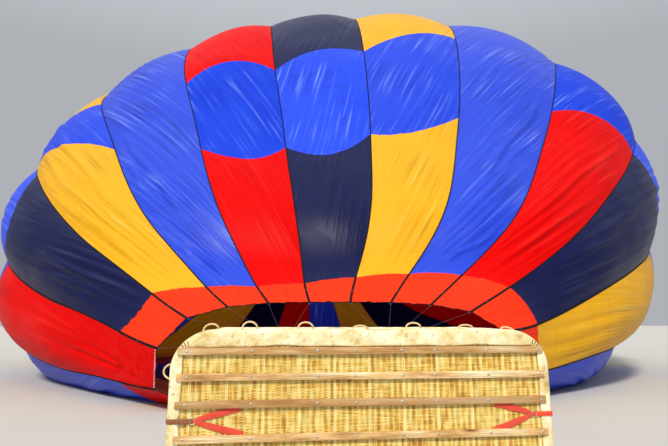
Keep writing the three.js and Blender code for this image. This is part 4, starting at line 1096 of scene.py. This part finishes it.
def hideMaterial():
    # Sewn rawhide, dried on the basket: pale cream, mottled and stained, waxy where it is pulled tight
    material, add = newMaterial("rawhide")
    coords = add("TexCoord").outputs["Object"]
    cloud = add("TexNoise", {"Vector": coords, "Scale": 6.0, "Detail": 5.0, "Roughness": 0.65})
    tone = add("ValToRGB", {0: cloud}, stops=[(0.30, "#c2a566"), (0.42, "#e3d096"), (0.60, "#f4edcd")])
    spots = add("TexNoise", {"Vector": coords, "Scale": 22.0, "Detail": 3.0})
    spots = add("MapRange", {0: spots, 1: 0.58, 2: 0.72})
    colour = add("Mix", {0: spots, 6: tone, 7: "#b9a26a"}, data_type="RGBA")
    grain = add("TexNoise", {"Vector": coords, "Scale": 90.0, "Detail": 3.0})
    height = add("Math", {0: cloud, 1: 3.0, 2: grain}, operation="MULTIPLY_ADD")
    bump = add("Bump", {"Strength": 0.5, "Distance": 0.004, "Height": height})
    shader = add("BsdfPrincipled", {"Base Color": colour, "Roughness": 0.5, "IOR": 1.5, "Normal": bump})
    add("OutputMaterial", {"Surface": shader})
    return material


addUnderside()
print("underside")
addWall()
print("wall")
rawhide = hideMaterial()
hide = {
    "count": 360,      # places along the outline
    # Inset of the outline and y, up the outside and round the corner
    "outside": [(0.0165, 0.166), (0.006, 0.168), (0.000, 0.162), (-0.001, 0.12), (-0.001, 0.075),
                (0.001, 0.045), (0.006, 0.028), (0.018, 0.0195), (0.034, 0.0175)],
    # Share of the way to the window and y, over the flange and round its rolled edge
    "flange": [(0.2, 0.0165), (0.4, 0.0172), (0.6, 0.018), (0.78, 0.0178), (0.9, 0.0180),
               (0.97, 0.0215), (1.0, 0.0270), (0.97, 0.0330), (0.85, 0.0348)],
    "inside": (0.0175, 0.0352),      # inset and y of the row that goes back inside
}


def addHideBand():
    # Hide round the bottom edge: for each place on the outline the section runs down the outside, round
    # the corner, over the flange to its rolled inner edge and back inside. Sag and puckers are sines of
    # the length
    turns, around = evenTurns(0, hide["count"])
    wave = (0.004 * np.sin(7.1 * around) + 0.003 * np.sin(17 * around + 1))[:, None]
    rows = [places(*basketLoop(inset, turns).T, y) for inset, y in hide["outside"]]
    start = rows[-1][:, :2]
    reach = roundLoop(*window, turns) - start
    for share, y in hide["flange"]:
        loop = start + reach * share + unit(reach) * wave * share
        puff = 0.0015 * np.sin(11 * around + 4 * share) + 0.001 * np.sin(29 * around - 3 * share)
        rows.append(places(*loop.T, y + puff * (share < 0.95)))
    inset, y = hide["inside"]
    rows.append(places(*basketLoop(inset, turns).T, y))
    points = np.stack(rows)[..., [0, 2, 1]]
    upper = np.clip((points[..., 2] - basketHeight + 0.3) / 0.3, 0, 1)
    wavy = 0.006 * np.sin(4.3 * points[..., 0] + 1) + 0.004 * np.sin(11 * points[..., 0])
    points[..., 2] -= upper * (0.006 + wavy)
    addInBasket("hide_band", [gridPart(points, ring=True, around=True)], rawhide, "rawhide", ["base_band"],
                sharp=None)


def addRim():
    # Padded roll of hide along the rim, its size swelling by two sines of the length
    inset = basket["rimRadius"]
    turns, around = evenTurns(inset, 300)
    loop = basketLoop(inset, turns)
    path = places(loop[:, 0], basket["wallTop"] + 0.0453, loop[:, 1])
    swell = 1 + 0.02 * np.sin(13 * around) + 0.015 * np.sin(31 * around)
    part = sweep(path, circle(inset, 20), (0, 1, 0), ring=True, wide=swell, high=swell)
    addInBasket("rim_hide", [part], rawhide, "rawhide", ["rim_roll"], sharp=None)


addHideBand()
addRim()
print("hide")

skids = {
    "heights": [0.180, 0.380, 0.587, 0.850, 1.062, 1.267],
    "wear": [0.2, 0.4, 0.05, 0.6, 0.0, 0.4],       # how far each board has darkened
    "length": 3.12,
    "halfWide": 0.029,
    "thick": 0.028,
    "bolts": [-1.48, -0.96, -0.415, -0.097, 0.30, 0.59, 1.05, 1.515],
    "boltRadius": 0.012,
}


def pineMaterial():
    # Planed softwood slats, weathered: brown stains and knots, pale worn places, grain lines 6 mm apart
    material, add = newMaterial("weathered pine")
    coords = add("TexCoord").outputs["Object"]
    stretched = add("Mapping", {"Vector": coords, "Scale": (3.0, 60.0, 160.0)})
    grain = add("TexNoise", {"Vector": stretched, "Scale": 1.0, "Detail": 4.0, "Distortion": 1.0})
    worn = add("Mapping", {"Vector": coords, "Scale": (1.7, 8.0, 9.0)})
    worn = add("TexNoise", {"Vector": worn, "Scale": 1.0, "Detail": 4.0, "Roughness": 0.6})
    tone = add("ValToRGB", {0: worn}, stops=[(0.33, "#b28048"), (0.47, "#ecc282"), (0.64, "#fff0c4")])
    knots = add("Mapping", {"Vector": coords, "Scale": (2.1, 9.0, 7.0)})
    knots = add("TexVoronoi", {"Vector": knots, "Scale": 1.0})
    knots = add("MapRange", {0: knots.outputs["Distance"], 1: 0.06, 2: 0.22})
    tone = add("Mix", {0: knots, 6: "#6e421e", 7: tone}, data_type="RGBA")
    lines = add("MapRange", {0: grain, 1: 0.35, 2: 0.65, 3: 0.45, 4: 1.0})
    colour = add("Mix", {0: lines, 6: "#6e4420", 7: tone}, data_type="RGBA")
    board = add("Attribute", attribute_name="board").outputs["Fac"]
    colour = add("Mix", {0: board, 6: colour, 7: "#9a6c38"}, data_type="RGBA")
    bump = add("Bump", {"Strength": 0.5, "Distance": 0.001, "Height": grain})
    shader = add("BsdfPrincipled", {"Base Color": colour, "Roughness": 0.6, "Normal": bump})
    add("OutputMaterial", {"Surface": shader})
    return material


pine = pineMaterial()
# Section of a bolt's domed head: share of its radius, and height
boltHead = [(0, -0.0050), (0.35, -0.0048), (0.7, -0.0036), (0.95, -0.0014), (1.0, 0.001), (0, 0.001)]


def addSkids():
    # Boards that wave and change width a little, as sines of the length, each held by a row of bolts
    parts, bolts, tones = [], [], []
    x = np.linspace(-skids["length"] / 2, skids["length"] / 2, 61)
    profile = roundBar(skids["halfWide"], skids["thick"] / 2, 0.003)
    dome = [(skids["boltRadius"] * share, y) for share, y in boltHead]
    for k, height in enumerate(skids["heights"]):
        path = places(x, skids["thick"] / 2, height + 0.0015 * np.sin(2.3 * x + k))
        wide = 1 + 0.03 * np.sin(5 * x + 2 * k) + 0.02 * np.sin(13 * x - k)
        wide[[0, -1]] *= 0.97
        parts.append(sweep(path, profile, (0, -1, 0), wide=wide))
        tones.append(np.full(len(parts[-1]["points"]), skids["wear"][k]))
        for b, place in enumerate(skids["bolts"]):
            shift = 0.006 * math.sin(3 * b + 2 * k)
            bolts.append(lathe(dome, (place + shift, -0.0002, height), (0, 1, 0), 14))
    addInBasket("skid_boards", parts, pine, "pine", [f"skid_{k + 1}" for k in range(6)],
                fields={"board": np.concatenate(tones)})
    addInBasket("skid_bolts", bolts, zincSteel, "frame_steel", weld=True)


addSkids()
print("skids")

# Rope handles: radius, half the space between their ends, and y. Then, for each side of the basket, the
# place along it and how far the rope stands out
ropes = {
    "radius": 0.008,
    "half": 0.07,
    "height": 0.35,
    "upper": [(-1.34, 0.040), (-1.00, 0.055), (-0.50, 0.050), (0.00, 0.020), (0.50, 0.045),
              (1.00, 0.026), (1.42, 0.030)],
    "left": [(1.08, 0.110), (0.70, 0.060)],
    "right": [(1.17, 0.030), (0.93, 0.055), (0.78, 0.045)],
}


def laidRope(path):
    # Three strands: round the rope the radius swells by a cosine of three times the angle, which turns
    # along the path three times
    angle = -2 * np.pi * np.arange(12) / 12
    twist = np.linspace(0, 6 * np.pi, len(path))[:, None]
    size = ropes["radius"] * (1 + 0.15 * np.cos(3 * (angle - twist)))
    return sweep(path, places(size * np.cos(angle), size * np.sin(angle)), (0, 1, 0))


def addRopes():
    arc = np.linspace(0, np.pi, 41)
    out = np.sin(arc) ** 0.7
    deep = 0.03      # how far the ends go into the weave
    parts = []
    for place, rise in ropes["upper"]:
        x = place - ropes["half"] * np.cos(arc)
        # Past the straight, the rope stands on the corner's arc, square to it
        over = np.clip(np.abs(x) - (basketHalf - basket["corner"]), 0, None) / basket["corner"]
        upright = np.sqrt(1 - over ** 2)
        stand = (rise + deep) * out - deep
        z = basketHeight - basket["corner"] * (1 - upright) + stand * upright
        path = places(x + np.sign(place) * over * stand, ropes["height"] + 0.02 * np.sin(2 * arc), z)
        parts.append(laidRope(path))
    for side, sign in (("left", -1), ("right", 1)):
        for place, rise in ropes[side]:
            parts.append(laidRope(places(sign * (basketHalf - deep + (rise + deep) * out),
                                         ropes["height"] + 0.02 * np.sin(arc),
                                         place - ropes["half"] * np.cos(arc))))
    addInBasket("rope_handles", parts, sisal, "wicker")


addRopes()
print("ropes")

# Inside of the basket


def addFloor():
    # Inside of the floor: the underside's weave, coarser, its edge clamped to the walls
    low = wicker["floorInset"]
    halfX, halfZ = basketHalf - low, basketMiddle - low
    rows = round(2 * halfZ / wicker["floorPitch"]) * 2 + 1
    columns = round(2 * halfX / wicker["underStake"]) * 2 + 1
    z = np.linspace(low, basketHeight - low, rows)[:, None]
    x = np.linspace(-halfX, halfX, columns)[None]
    # shade is the weave's painted shade
    swing, shade, crest = weave(x, np.arange(rows)[:, None], wicker["underStake"])
    radius = basket["corner"] - low
    rise = np.maximum(np.abs(z - basketMiddle) - (halfZ - radius), 0)
    reach = halfX - radius + np.sqrt(np.maximum(radius ** 2 - rise ** 2, 0))
    depth = wicker["floorDepth"]
    height = basket["floorBack"] - depth + depth * swing * crest - 0.003 * ~crest
    wovenSlab("floor_weave", places(np.clip(x, -reach, reach), height, z), x, shade, wicker["floorUnder"],
              flip=True)


# Each T's stem and bar, from the basket's low edge and middle, its foot and top, and the weave's measures
partition = {"low": 0.05, "end": 1.57, "halfThick": 0.013, "middle": 0.466, "bottom": 0.0585, "top": 1.036,
             "pitch": 0.02, "stake": 0.0225, "depth": 0.003, "roll": 0.024}


def addPartitions():
    # Each woven T is an outline in plan, carried up in rows. Below and above, a fan from the point where its
    # walls meet closes it, and a hide roll covers the top
    half, mid, end = partition["halfThick"], partition["middle"], partition["end"]
    low, high = partition["low"], basketHeight - partition["low"]
    under, over = basketMiddle - half, basketMiddle + half
    corners = np.array([(mid - half, low), (mid + half, low), (mid + half, under), (end, under), (end, over),
                        (mid + half, over), (mid + half, high), (mid - half, high)])
    rows = round((partition["top"] - partition["bottom"]) / partition["pitch"]) * 2 + 1
    heights = np.linspace(partition["bottom"], partition["top"], rows)
    heights = np.concatenate([heights[:1], heights, heights[-1:]])[:, None]
    outline, normals = [], []
    for a, b in zip(corners, np.roll(corners, -1, axis=0)):
        count = max(round(np.linalg.norm(b - a) / partition["stake"]), 1)
        outline.append(a + (b - a) * (np.arange(count)[:, None] + 0.5) / count)
        normals.append(np.tile(unit(np.array([b[1] - a[1], a[0] - b[0]])), (count, 1)))
    outline, normals = np.concatenate(outline), np.concatenate(normals)
    folded = np.broadcast_to((mid, basketMiddle), outline.shape)
    # The weave's rise and its painted shade, and the deepest painted shade on the fans that close it
    rise, shade = evenWeave(len(outline), np.arange(rows))
    deep = np.full((1, len(outline)), wicker["deepShade"])
    for name, sign in (("left", -1), ("right", 1)):
        if sign < 0:
            grids = [grid[::-1] * (-1, 1) for grid in (outline, normals, folded)]
        else:
            grids = [outline, normals, folded]
        plan = grids[0] + grids[1] * (rise * partition["depth"])[..., None]
        plan = np.concatenate([grids[2][None], plan, grids[2][None]])
        part = gridPart(places(plan[..., 0], heights, plan[..., 1]), ring=True, flip=True)
        strand = places(part["cells"][:, 1] * wicker["wallStake"], part["cells"][:, 0])
        addInBasket(f"partition_weave_{name}", [part], willowWeave, "wicker", [f"partition_{name}"],
                    uvs={"strand": strand}, fields={"weaveShade": np.concatenate([deep, shade, deep])},
                    sharp=None, weld=True)
        level = partition["top"] + 0.003
        walls = [places(sign * mid, level, np.linspace(low, high, 40)),
                 places(sign * np.linspace(mid, end, 30), level, basketMiddle)]
        rolls = [sweep(path, circle(partition["roll"], 14), (0, 1, 0)) for path in walls]
        addInBasket(f"partition_roll_{name}", rolls, rawhide, "rawhide")


addFloor()
addPartitions()

# Where the stitches lie round each corner, their radius, how far from the hide's inner edge they start and
# end, and their y
stitches = {"places": [0.15, 0.33, 0.50, 0.67, 0.85], "radius": 0.0034, "from": 0.004, "to": 0.047,
            "front": 0.0163}


def addStitches():
    # Leather lacing that gathers the hide at each corner: straight stitches from its inner edge outwards
    share = np.linspace(stitches["from"], stitches["to"], 5)[:, None]
    parts = []
    for corner in range(4):
        for place in stitches["places"]:
            angle = math.radians(90 * (corner + place - 1))
            line = roundLoop(*window, 0.5 + 2 * corner + place) + share * (math.cos(angle), math.sin(angle))
            path = places(line[:, 0], stitches["front"], line[:, 1])
            parts.append(sweep(path, circle(stitches["radius"], 6), (0, -1, 0)))
    addInBasket("hide_stitches", parts, darkLeather, "rawhide")


addStitches()

# Tanks: places, and the profiles (radius, height) of body, valve and belt
tank = {
    "side": 0.288, "low": 0.188, "high": 1.262, "foot": 0.0585, "belts": [0.24, 0.62], "count": 40,
    # Foot ring, jacket, dome and guard collar
    "body": [(0.0, 0.010), (0.098, 0.010), (0.099, 0.0), (0.104, 0.0), (0.105, 0.026), (0.100, 0.034),
             (0.118, 0.046), (0.132, 0.062), (0.139, 0.084), (0.139, 0.780), (0.134, 0.802), (0.120, 0.822),
             (0.090, 0.838), (0.090, 0.876), (0.088, 0.879), (0.085, 0.876), (0.084, 0.842), (0.050, 0.850),
             (0.0, 0.852)],
    "valve": [(0.0, 0.85), (0.020, 0.85), (0.020, 0.858), (0.012, 0.860), (0.012, 0.868), (0.026, 0.869),
              (0.028, 0.872), (0.026, 0.876), (0.010, 0.878), (0.0, 0.878)],
    "belt": [(0.137, 0.0), (0.1395, 0.001), (0.1398, 0.039), (0.137, 0.04), (0.137, 0.0)],
}


def addTanks():
    bodies, belts, valves = [], [], []
    for z in (tank["low"], tank["high"]):
        for x in (-tank["side"], tank["side"]):
            place = (x, tank["foot"], z)
            bodies.append(lathe(tank["body"], place, (0, 1, 0), tank["count"]))
            valves.append(lathe(tank["valve"], place, (0, 1, 0), 20))
            for y in tank["belts"]:
                belts.append(lathe(tank["belt"], (x, tank["foot"] + y, z), (0, 1, 0), tank["count"]))
    addInBasket("tank_bodies", bodies, tankAluminium, "tank_metal", [f"tank_{k + 1}" for k in range(4)],
                weld=True)
    addInBasket("tank_valves", valves, brass, "frame_steel", weld=True)
    addInBasket("tank_belts", belts, brownLeather, "red_webbing", weld=True)


addTanks()
print("inside")

# Straps under the ends: two leaf shaped legs tucked under the skids, a ring and a length up the end wall
straps = {
    "left": {"ring": (-1.416, 0.724), "legs": [(-1.042, 0.812), (-1.014, 0.620)], "sign": -1},
    "right": {"ring": (1.453, 0.729), "legs": [(1.105, 0.814), (1.075, 0.599)], "sign": 1},
    # How wide a leg is for its half width: place along it, share
    "wide": [(0.0, 0.55), (0.1, 0.75), (0.3, 1.1), (0.55, 1.25), (0.85, 1.1), (1.0, 1.0)],
    # Course of the length up the end wall: way out from the ring, and y
    "end": [(0.0, 0.0245), (0.03, 0.020), (0.07, 0.0125), (0.13, 0.0115), (0.155, 0.0118),
            (0.172, 0.0170), (0.180, 0.0270), (0.182, 0.045), (0.182, 0.12), (0.182, 0.33)],
    "half": 0.022,
    "endHalf": 0.019,      # half width of the length up the end wall
    "thick": 0.0016,
    "edge": 0.0012,
    "ringRadius": 0.024,
}


def addStraps():
    share = np.linspace(0, 1, 31)
    wide = np.interp(share, *zip(*straps["wide"]))
    knots = np.array(straps["end"])
    reach = lengths(knots, 0)
    fine = np.linspace(0, reach[-1], 60)
    out, y = [np.interp(fine, reach, column) for column in knots.T]
    turn = np.linspace(0, 2 * np.pi, 30, endpoint=False)
    # A ring of three lobes: its radius is a cosine of three times the angle
    lobes = straps["ringRadius"] * (1 + 0.12 * np.cos(3 * turn))
    for side in ("left", "right"):
        (x, z), sign = straps[side]["ring"], straps[side]["sign"]
        legs = []
        for k, (tipX, tipZ) in enumerate(straps[side]["legs"]):
            bow = 0.006 * np.sin(np.pi * share) * (1 - 2 * k)
            path = places(x + (tipX - x) * share, 0.0245 + 0.0045 * share + 0.0012 * np.sin(9 * share),
                          z + (tipZ - z) * share + bow)
            profile = roundBar(straps["half"], straps["thick"], straps["edge"])
            legs.append(sweep(path, profile, (0, -1, 0), wide=wide))
        addInBasket(f"strap_legs_{side}", legs, salmonWebbing, "red_webbing", [f"strap_{side}"])
        stretch = (basketHalf + 0.004 - abs(x)) / knots[-1, 0]
        path = places(x + sign * out * stretch, y, z + 0.002 * np.sin(4 * fine))
        along = np.gradient(path, axis=0)
        up = places(sign * along[:, 1], -sign * along[:, 0], 0.0)
        end = sweep(path, roundBar(straps["endHalf"], straps["thick"], straps["edge"]), up)
        addInBasket(f"strap_end_{side}", [end], brownLeather if sign < 0 else redWebbing, "red_webbing")
        ring = places(x - sign * lobes * np.cos(turn), 0.0205, z + lobes * np.sin(turn))
        rods = [sweep(ring, circle(0.0028, 8), (0, 1, 0), ring=True)]
        if sign < 0:
            buckle = roundLoop(0.022, 0.026, 0.006, np.linspace(0, 8, 33)[:-1]) + (x - 0.10, z - basketMiddle)
            path = places(buckle[:, 0], 0.0085, buckle[:, 1])
            rods.append(sweep(path, circle(0.0022, 6), (0, 1, 0), ring=True))
        addInBasket(f"strap_ring_{side}", rods, zincSteel, "frame_steel")


addStraps()
print("straps")

# Poles, frame, burners and wires

# The frame's y and half sides, the poles' feet and heads, the burners' middles, base and coil, and the
# block between them
rig = {"y": 2.15, "frameX": 0.6, "frameZ": 0.5, "poleX": 0.48, "poleZ": 0.68, "poleFoot": 1.1956,
       "poleHead": 2.1247, "burnerSide": 0.175, "burnerBase": 2.1723, "coilRadius": 0.110, "blockX": 0.33,
       "blockHalf": 0.022, "blockZ": 0.12, "gimbalZ": 0.4}
# Profiles (radius, height above the burner's base) of its can and of the jet ring inside
burnerCan = [(0.0, 0.0), (0.055, 0.0), (0.058, 0.003), (0.058, 0.056), (0.064, 0.064), (0.098, 0.088),
             (0.122, 0.112), (0.130, 0.135), (0.130, 0.4397), (0.133, 0.4417), (0.133, 0.4477),
             (0.124, 0.4477), (0.1225, 0.4397), (0.122, 0.150), (0.112, 0.142), (0.0, 0.141)]
jetRing = [(0.0, 0.1405), (0.048, 0.1405), (0.050, 0.144), (0.050, 0.160), (0.046, 0.163), (0.034, 0.163),
           (0.032, 0.160), (0.032, 0.146), (0.0, 0.145)]
valveNut = [(0.0, 0.0), (0.018, 0.0), (0.018, 0.012), (0.014, 0.014), (0.0, 0.014)]


def addPoles():
    # Each cover narrows from rim to frame, and wrinkles are two sines of the length
    share = np.linspace(0, 1, 70)
    for number, (level, side) in enumerate([(-1, -1), (-1, 1), (1, -1), (1, 1)]):
        foot = np.array([side * rig["poleX"], rig["poleFoot"], basketMiddle + level * rig["poleZ"]])
        head = np.array([side * rig["frameX"], rig["poleHead"], basketMiddle + level * rig["frameZ"]])
        radius = 0.0315 - 0.0075 * share + 0.0008 * np.sin(60 * share + number) + 0.0005 * np.sin(131 * share)
        radius[[0, -1]] *= 0.9
        path = foot + (head - foot) * share[:, None]
        pole = sweep(path, circle(1.0, 24), (0, 0, 1), wide=radius, high=radius)
        # The cut ends lie level on the rim and under the frame
        pole["points"][:, 1] = np.clip(pole["points"][:, 1], rig["poleFoot"], rig["poleHead"])
        piece = addInBasket(f"pole_cover_{number + 1}", [pole], paddedCover, "pole_padding",
                            [f"upright_{number + 1}"])


def addBurners():
    # Each can is turned from a profile, and a pipe is wound inside it as a helix of seven turns
    turn = np.linspace(0, 14 * np.pi, 336)
    for side, sign in (("left", -1), ("right", 1)):
        x, base, radius = sign * rig["burnerSide"], rig["burnerBase"], rig["coilRadius"]
        can = lathe(burnerCan, (x, base, basketMiddle), (0, 1, 0), 48)
        addInBasket(f"burner_can_{side}", [can], burnerSteel, "burner_steel", [f"burner_{side}"],
                    body="burners", weld=True)
        path = places(x + radius * np.cos(turn), base + 0.165 + 0.24 * turn / turn[-1],
                      basketMiddle + radius * np.sin(turn))
        pipes = [sweep(path, circle(0.0075, 8), (0, 1, 0)),
                 lathe(jetRing, (x, base, basketMiddle), (0, 1, 0), 32)]
        addInBasket(f"burner_coil_{side}", pipes, heatedSteel, "burner_steel", body="burners", weld=True)


def addBlock():
    # The block between the burners, its pins and the two blast valves with their levers
    middle, half, y = basketMiddle, rig["blockHalf"], rig["y"]
    path = places(np.linspace(-rig["blockX"], rig["blockX"], 9), y, middle)
    parts = [sweep(path, roundBar(half, rig["blockZ"], 0.006), (0, 0, 1))]
    start, end = rig["blockZ"] - 0.01, rig["gimbalZ"] + 0.0148
    pin = [(0.0, start), (0.010, start), (0.010, end - 0.0018), (0.009, end), (0.0, end)]
    for level in (-1, 1):
        parts.append(lathe(pin, (0, y, middle), (0, 0, level), 20))
    levers = []
    reach = np.linspace(0, 1, 14)
    for sign in (-1, 1):
        x = sign * rig["burnerSide"]
        path = places(x, np.linspace(y - half - 0.13, y - half + 0.002, 7), middle)
        parts.append(sweep(path, roundBar(0.06, 0.05, 0.009), (0, 0, 1)))
        parts.append(lathe(valveNut, (x, y - half - 0.04, middle + 0.049), (0, 0, 1), 6))
        path = places(x - sign * (0.03 + 0.09 * reach), y - 0.155 - 0.012 * reach,
                      middle + 0.03 * np.sin(np.pi * reach))
        levers.append(sweep(path, circle(0.006, 10), (0, 0, 1)))
    addInBasket("burner_manifold", parts, brushedSteel, "frame_steel", ["burner_block"], body="burners",
                weld=True)
    addInBasket("blast_levers", levers, zincSteel, "frame_steel", body="burners")


addPoles()
addBurners()
addBlock()
for node in ("load_frame", "gimbal"):
    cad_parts[node].data.materials[0] = brushedSteel
for corner in ("upper_left", "upper_right", "lower_right", "lower_left"):
    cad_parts[f"wires_{corner}"].data.materials[0] = darkWire
print("burners")

# Tape ends at the mouth, in metres: half width, thickness and edge of a tab, radius of a link's rod
mouthTab = (0.015, 0.003, 0.0012)
linkRod = 0.0035


def addMouthRings():
    # Tape ends at the mouth: a tab and a link on each seam, a small ring halfway over the band, and lacing
    # on the hem between seams 15 and 16, which dives in and out as a cosine
    rings = makeRings(np.array([0.0, 0.004, 0.018, 0.022]))
    tabs, links = [], []
    turn = np.linspace(0, 2 * np.pi, 24, endpoint=False)[:, None]
    for seam in range(envelope["gores"]):
        points = toFrame(np.concatenate([gorePoints(rings, seam - 1, np.array([0.98])),
                                         gorePoints(rings, seam, np.array([0.0, 0.02]))], axis=1))
        for row, size in ((0, 0.020), (2, 0.016)):
            middle = points[row, 1]
            along = unit(points[row + 1, 1] - middle)
            side = points[row, 2] - points[row, 0]
            side = unit(side - along * (side @ along))
            normal = np.cross(side, along)
            if row == 0:
                tab = middle + along * np.linspace(0.02, -0.034, 9)[:, None] + normal * 0.004
                tab[:, 2] = np.maximum(tab[:, 2], 0.018)
                tabs.append(sweep(tab, roundBar(*mouthTab), normal))
                middle = middle - along * 0.046
            else:
                middle = middle + normal * 0.012
            loop = middle + np.cos(turn) * along * size * 1.2 + np.sin(turn) * side * size
            loop[:, 2] = np.maximum(loop[:, 2], 0.006)
            links.append(sweep(loop, circle(linkRod, 8), normal, ring=True))
    addPiece("mouth_tabs", merged(tabs), blackTape, "black_tape")
    addPiece("mouth_links", merged(links), darkWire, "wire_steel")
    t = np.linspace(0.03, 0.97, 121)
    points = gorePoints(makeRings(np.array([0.0, 0.004])), 15, t)
    edge = toFrame(points)
    normal = toFrame(gridNormals(points)[0]) - toFrame(np.zeros(3))
    dive = 0.004 + 0.014 * np.cos(32 * np.pi * t)
    lace = edge[0] + unit(edge[1] - edge[0]) * 0.03 + normal * dive[:, None]
    addPiece("mouth_lacing", sweep(lace, circle(0.0045, 6), normal), whiteCord, "black_tape")


addMouthRings()
print("mouth rings")

# Crown: load tapes to the crown ring, and the vent beneath them
crown = {
    "tape": (0.022, 0.003, 0.0012),      # half width, thickness and edge
    "ringBar": (0.0175, 0.012, 0.005),
    "ventGap": 0.03,                     # from the gores and the tapes to the vent beneath them
    "columns": 8,                        # of the vent, for each gore
    "scallop": 0.10,                     # how far the vent bulges between two tapes
    "ripple": 0.004,
}


def crownDome(edge, share, middle):
    # A point over the crown opening: share of the way out to the edge, on a parabola of the crown's rise
    reach = edge - middle
    height = envelope["crownRise"] * (1 - share ** 2) + reach[..., 1:2] * share ** 2
    return middle + reach * (1, 0, 1) * share + height * (0, 1, 0)


def addCrown():
    gores = range(envelope["gores"])
    rings = makeRings(np.array([envelope["crownEnd"]]))
    edges = np.concatenate([gorePoints(rings, gore, np.array([0.0]))[0] for gore in gores])
    middle = edges.mean(axis=0)
    outward = toFrame(np.array([0, 1.0, 0])) - toFrame(np.zeros(3))
    parts = []
    for edge in edges:
        share = np.linspace(1, envelope["crownRing"] / np.linalg.norm(edge - middle), 16)[:, None]
        path = crownDome(edge, share, middle) - np.array([0, 0.008, 0]) * share ** 6
        parts.append(sweep(toFrame(path), roundBar(*crown["tape"]), outward))
    addPiece("crown_tapes", merged(parts), blackTape, "black_tape", ["crown_lines"])
    turn = np.linspace(0, 2 * np.pi, 64, endpoint=False)
    radius = envelope["crownRing"] - 0.0025
    path = toFrame(middle + places(radius * np.cos(turn), envelope["crownRise"], radius * np.sin(turn)))
    addPiece("crown_ring", sweep(path, roundBar(*crown["ringBar"]), outward, ring=True), tankAluminium,
             "frame_steel")
    # The vent: rows below the gores' ends, then over the dome to its tip, scalloped between the tapes
    t = np.arange(crown["columns"]) / crown["columns"]
    rim = makeRings(np.linspace(envelope["paraStart"], envelope["crownEnd"], 8))
    rows = np.concatenate([gorePoints(rim, gore, t) for gore in gores], axis=1)
    share = np.linspace(0.97, 0.0, 26)[:, None]
    cover = crownDome(rows[-1][None], share[..., None], middle) - (0, crown["ventGap"], 0)
    scallop = crown["scallop"] * np.tile(np.sin(np.pi * t), len(gores))[None] * (1 - share)
    ripple = crown["ripple"] * np.sin(40 * np.arange(rows.shape[1])[None] / crown["columns"])
    cover[..., 1] += (scallop + ripple) * share
    points = np.concatenate([rows - gridNormals(rows) * crown["ventGap"], cover])
    part = gridPart(toFrame(points), ring=True)
    metres = places(part["cells"][:, 1] * 0.1, part["cells"][:, 0] * 0.09)
    vent = addPiece("vent_fabric", part, clothMaterial("ripstop nylon vent", "navy"), "navy_fabric",
                    ["parachute_vent"], body="vent", uvs={"metres": metres, "crease": metres}, sharp=None,
                    weld=True)


addCrown()
print("crown")


bpy.context.view_layer.update()
